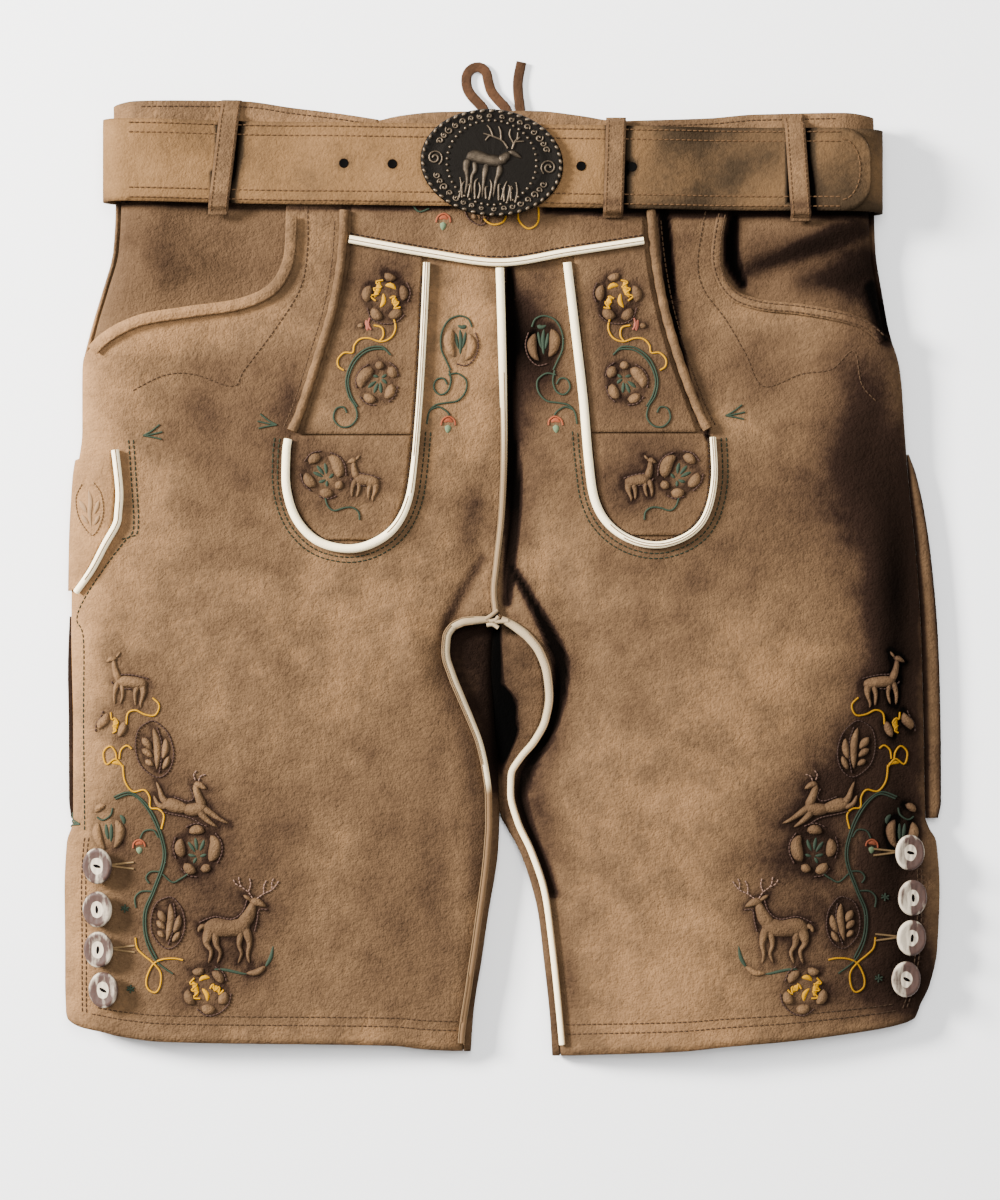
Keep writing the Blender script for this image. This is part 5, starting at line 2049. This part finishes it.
# The flat cut of each cloth piece, in metres and square metres, and the node it lies on.
Cut = namedtuple("Cut", "width length area rests_on")
CUTS = {
    "back_left": Cut(0.250, 0.470, 0.107, None), "back_right": Cut(0.250, 0.472, 0.104, None),
    "front_left": Cut(0.258, 0.470, 0.100, "back_left"), "front_right": Cut(0.250, 0.472, 0.098, "back_right"),
    "thigh_left": Cut(0.025, 0.240, 0.0043, "back_left"),
    "thigh_right": Cut(0.027, 0.242, 0.0050, "back_right"),
    "waistband_back": Cut(0.435, 0.051, 0.0202, None),
    "waistband_front_left": Cut(0.158, 0.055, 0.0080, "waistband_back"),
    "waistband_front_right": Cut(0.152, 0.048, 0.0069, "waistband_back"),
    "hip_left": Cut(0.138, 0.096, 0.0116, "back_left"), "hip_right": Cut(0.122, 0.096, 0.0102, "back_right"),
    "flap_yoke": Cut(0.161, 0.073, 0.0110, "front_left"),
    "flap_tab_left": Cut(0.066, 0.058, 0.0034, "front_left"),
    "flap_tab_right": Cut(0.065, 0.056, 0.0033, "front_right"),
    "flap_side_left": Cut(0.061, 0.107, 0.0051, "front_left"),
    "flap_side_right": Cut(0.059, 0.105, 0.0049, "front_right"),
    "knife_pocket": Cut(0.036, 0.079, 0.0018, "front_left"),
}


def cut_of(obj, node):
    cut = CUTS[node]
    under = [cut.rests_on + "_leather"] if cut.rests_on else []
    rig.sheet(obj, flat=(cut.width, cut.length), held="laid", rests_on=under, area=cut.area)


class BuildOperator:
    """Shared settings of the operators that make one group of pieces each."""

    bl_options = {"REGISTER", "UNDO"}

    def execute(self, context):
        try:
            self.make(context, context.scene.lederhosen)
        except (KeyError, RuntimeError) as problem:
            self.report({"ERROR"}, "%s: %s" % (self.bl_label, problem))
            raise
        return {"FINISHED"}


class LEDERHOSEN_OT_legs(BuildOperator, bpy.types.Operator):
    """Make the fronts, backs and inner thighs of both legs"""
    bl_idname = "lederhosen.legs"
    bl_label = "Legs"

    def make(self, context, look):
        hide, dark = hide_of(context), dark_hide_of(context)
        thickness = look.leather * 1000
        for side, word in SIDES:
            cut_of(build_back(side, word, hide, thickness), "back_" + word)
            cut_of(build_front(side, word, hide, thickness), "front_" + word)
            cut_of(build_thigh(side, word, dark, thickness), "thigh_" + word)
            build_side_seam(side, word, hide)


class LEDERHOSEN_OT_waist(BuildOperator, bpy.types.Operator):
    """Make the waistbands and the hip pieces behind the pocket mouths"""
    bl_idname = "lederhosen.waist"
    bl_label = "Waist and hips"

    def make(self, context, look):
        hide, dark = hide_of(context), dark_hide_of(context)
        cut_of(build_back_band(hide), "waistband_back")
        for side, word in SIDES:
            cut_of(build_front_band(side, word, hide), "waistband_front_" + word)
            cut_of(build_hip(side, word, dark), "hip_" + word)


class LEDERHOSEN_OT_flap(BuildOperator, bpy.types.Operator):
    """Make the drop flap's pieces, the pocket mouths' bands and the knife pocket"""
    bl_idname = "lederhosen.flap"
    bl_label = "Flap and pockets"

    def make(self, context, look):
        hide = hide_of(context)
        cut_of(build_yoke(hide), "flap_yoke")
        for side, word in SIDES:
            tab, panel = "flap_tab_" + word, "flap_side_" + word
            cut_of(build_flap_piece(tab, TAB_ROWS[side], side, hide), tab)
            cut_of(build_flap_piece(panel, FLAP_SIDE_ROWS[side], side, hide, ends_at_v=True), panel)
            build_mouth_band(side, word, hide)
        cut_of(build_knife_pocket(hide), "knife_pocket")


class LEDERHOSEN_OT_piping(BuildOperator, bpy.types.Operator):
    """Make the white pipings and the two welts"""
    bl_idname = "lederhosen.piping"
    bl_label = "Piping"

    def make(self, context, look):
        build_pipings(piping_material(tuple(look.piping), srgb(98, 76, 54)), hide_of(context),
                      plain_material("groove_shade", srgb(104, 84, 62)))


class LEDERHOSEN_OT_belt(BuildOperator, bpy.types.Operator):
    """Make the belt, its buckle and its loops"""
    bl_idname = "lederhosen.belt"
    bl_label = "Belt"

    def make(self, context, look):
        thread = thread_material("belt_thread", srgb(86, 64, 44))
        dark = tuple(share * value for share, value in zip(BELT_DARK_SHARE, look.belt))
        pale = tuple(1.5 * value for value in look.belt)
        build_belt(suede("belt_suede", tuple(look.belt), dark, pale, nap=0.5), thread,
                   plain_material("hole_shade", srgb(8, 7, 6)))
        metal = tuple(look.metal)
        build_buckle(metal_material(metal), metal_material(metal, "buckle_metal_dull", 0.5))
        build_front_loops(hide_of(context), thread)


class LEDERHOSEN_OT_buttons(BuildOperator, bpy.types.Operator):
    """Make the antler buttons down the vents, and their thread ties"""
    bl_idname = "lederhosen.buttons"
    bl_label = "Buttons"

    def make(self, context, look):
        build_buttons(horn_material(tuple(look.horn), tuple(look.horn_brown)),
                      plain_material("slot_shade", srgb(10, 8, 7)),
                      thread_material("tie_thread", srgb(120, 96, 66)),
                      thread_material("green_thread", tuple(look.green)))


class LEDERHOSEN_OT_lace(BuildOperator, bpy.types.Operator):
    """Make the leather lace that shows above the back of the waist"""
    bl_idname = "lederhosen.lace"
    bl_label = "Lace"

    def make(self, context, look):
        lace = suede("lace_suede", tuple(look.lace), srgb(44, 30, 23), srgb(90, 63, 46), nap=0.5, constant=0.0)
        wide = 2 * (LACE_HALF_WIDTH + LACE_ROUND) * MM
        for node, made, path in build_laces(lace):
            length = float(np.linalg.norm(np.diff(path, axis=0), axis=1).sum()) * MM
            far = "object" if node == "lace_loop" else "bare"
            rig.cord(made, exit=tuple(path[0] * MM), length=length, diameter=wide, far_end=far,
                    stiffness="limp", lay="loose")


# The threads whose colours aren't settings: their materials' names and shades.
THREAD_SHADES = {
    "dark": ("dark", (66, 50, 44)), "pale": ("pale", (112, 88, 76)), "paler": ("pocket", (128, 100, 72)),
    "sewing_hem": ("hem", (68, 52, 38)), "sewing_green": ("seam_green", (38, 44, 34)),
    "sewing_dark": ("seam_dark", (40, 30, 24)),
}


class LEDERHOSEN_OT_sewing(BuildOperator, bpy.types.Operator):
    """Make the sewn lines and the embroidery"""
    bl_idname = "lederhosen.sewing"
    bl_label = "Sewing and embroidery"

    def make(self, context, look):
        materials = {"hide": hide_of(context, "relief_suede")}
        for colour in ("yellow", "green", "mint", "orange", "pink"):
            materials[colour] = thread_material(colour + "_thread", tuple(getattr(look, colour)))
        for thread, (name, shade) in THREAD_SHADES.items():
            materials[thread] = thread_material(name + "_thread", srgb(*shade))
        build_sewing(materials)
        build_embroidery(materials, look.relief, look.thread * 1000)


class LEDERHOSEN_OT_stage(BuildOperator, bpy.types.Operator):
    """Set up the plain floor, the studio lights and the camera above"""
    bl_idname = "lederhosen.stage"
    bl_label = "Stage"

    def make(self, context, look):
        bpy.ops.mesh.primitive_plane_add(size=4.0, location=(0, 0, -0.0004))
        floor = context.object
        floor.name = "floor"
        floor.data.materials.append(plain_material("floor_paint", (0.9, 0.9, 0.9), 0.9))
        made = [floor]
        for name, place, size, power, colour in (
                ("key_light", (-2.0, 0.75, 1.15), 0.6, 330.0, (1.0, 0.98, 0.95)),
                ("top_light", (0.1, 0.5, 1.9), 1.0, 50.0, (1.0, 1.0, 1.0)),
                ("fill_light", (1.3, -0.5, 1.2), 1.2, 5.0, (0.95, 0.97, 1.0))):
            data = bpy.data.lights.new(name, "AREA")
            data.shape = "SQUARE"
            data.size, data.energy, data.color = size, power, colour
            lamp = bpy.data.objects.new(name, data)
            lamp.location = place
            lamp.rotation_euler = (Vector((0, 0, 0)) - Vector(place)).to_track_quat("-Z", "Y").to_euler()
            context.scene.collection.objects.link(lamp)
            made.append(lamp)
        world = bpy.data.worlds.new("studio")
        world.use_nodes = True
        world.node_tree.nodes["Background"].inputs["Color"].default_value = (1, 1, 1, 1)
        world.node_tree.nodes["Background"].inputs["Strength"].default_value = 0.6
        context.scene.world = world
        lens = bpy.data.cameras.new("camera")
        lens.lens = 100
        lens.sensor_width = 36
        lens.clip_start, lens.clip_end = 0.05, 20
        camera = bpy.data.objects.new("camera", lens)
        camera.location = (-0.00165, -0.011, 1.843)
        camera.rotation_euler = (0, 0, 0)
        context.scene.collection.objects.link(camera)
        context.scene.camera = camera
        made.append(camera)
        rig.stage(*made)


OPERATORS = (LEDERHOSEN_OT_legs, LEDERHOSEN_OT_waist, LEDERHOSEN_OT_flap, LEDERHOSEN_OT_piping,
             LEDERHOSEN_OT_belt, LEDERHOSEN_OT_buttons, LEDERHOSEN_OT_lace, LEDERHOSEN_OT_sewing,
             LEDERHOSEN_OT_stage)


class LEDERHOSEN_PT_maker(bpy.types.Panel):
    """Lists the garment's settings and the operators in their order"""
    bl_label = "Lederhosen"
    bl_idname = "LEDERHOSEN_PT_maker"
    bl_space_type = "VIEW_3D"
    bl_region_type = "UI"
    bl_category = "Lederhosen"

    def draw(self, context):
        column = self.layout.column()
        for name in LederhosenSettings.__annotations__:
            column.prop(context.scene.lederhosen, name)
        for operator in OPERATORS:
            column.operator(operator.bl_idname)


CLASSES = (LederhosenSettings, *OPERATORS, LEDERHOSEN_PT_maker)


def register():
    for each in CLASSES:
        bpy.utils.register_class(each)
    bpy.types.Scene.lederhosen = PointerProperty(type=LederhosenSettings)


def unregister():
    del bpy.types.Scene.lederhosen
    for each in reversed(CLASSES):
        bpy.utils.unregister_class(each)


def main():
    register()
    for operator in OPERATORS:
        group, name = operator.bl_idname.split(".")
        getattr(getattr(bpy.ops, group), name)()
    shown = [list(corner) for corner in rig.bounds()]
    with open("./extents.json", "w") as out:
        json.dump({"cad": CAD_BOX, "scene": shown}, out)


if __name__ == "__main__":
    main()
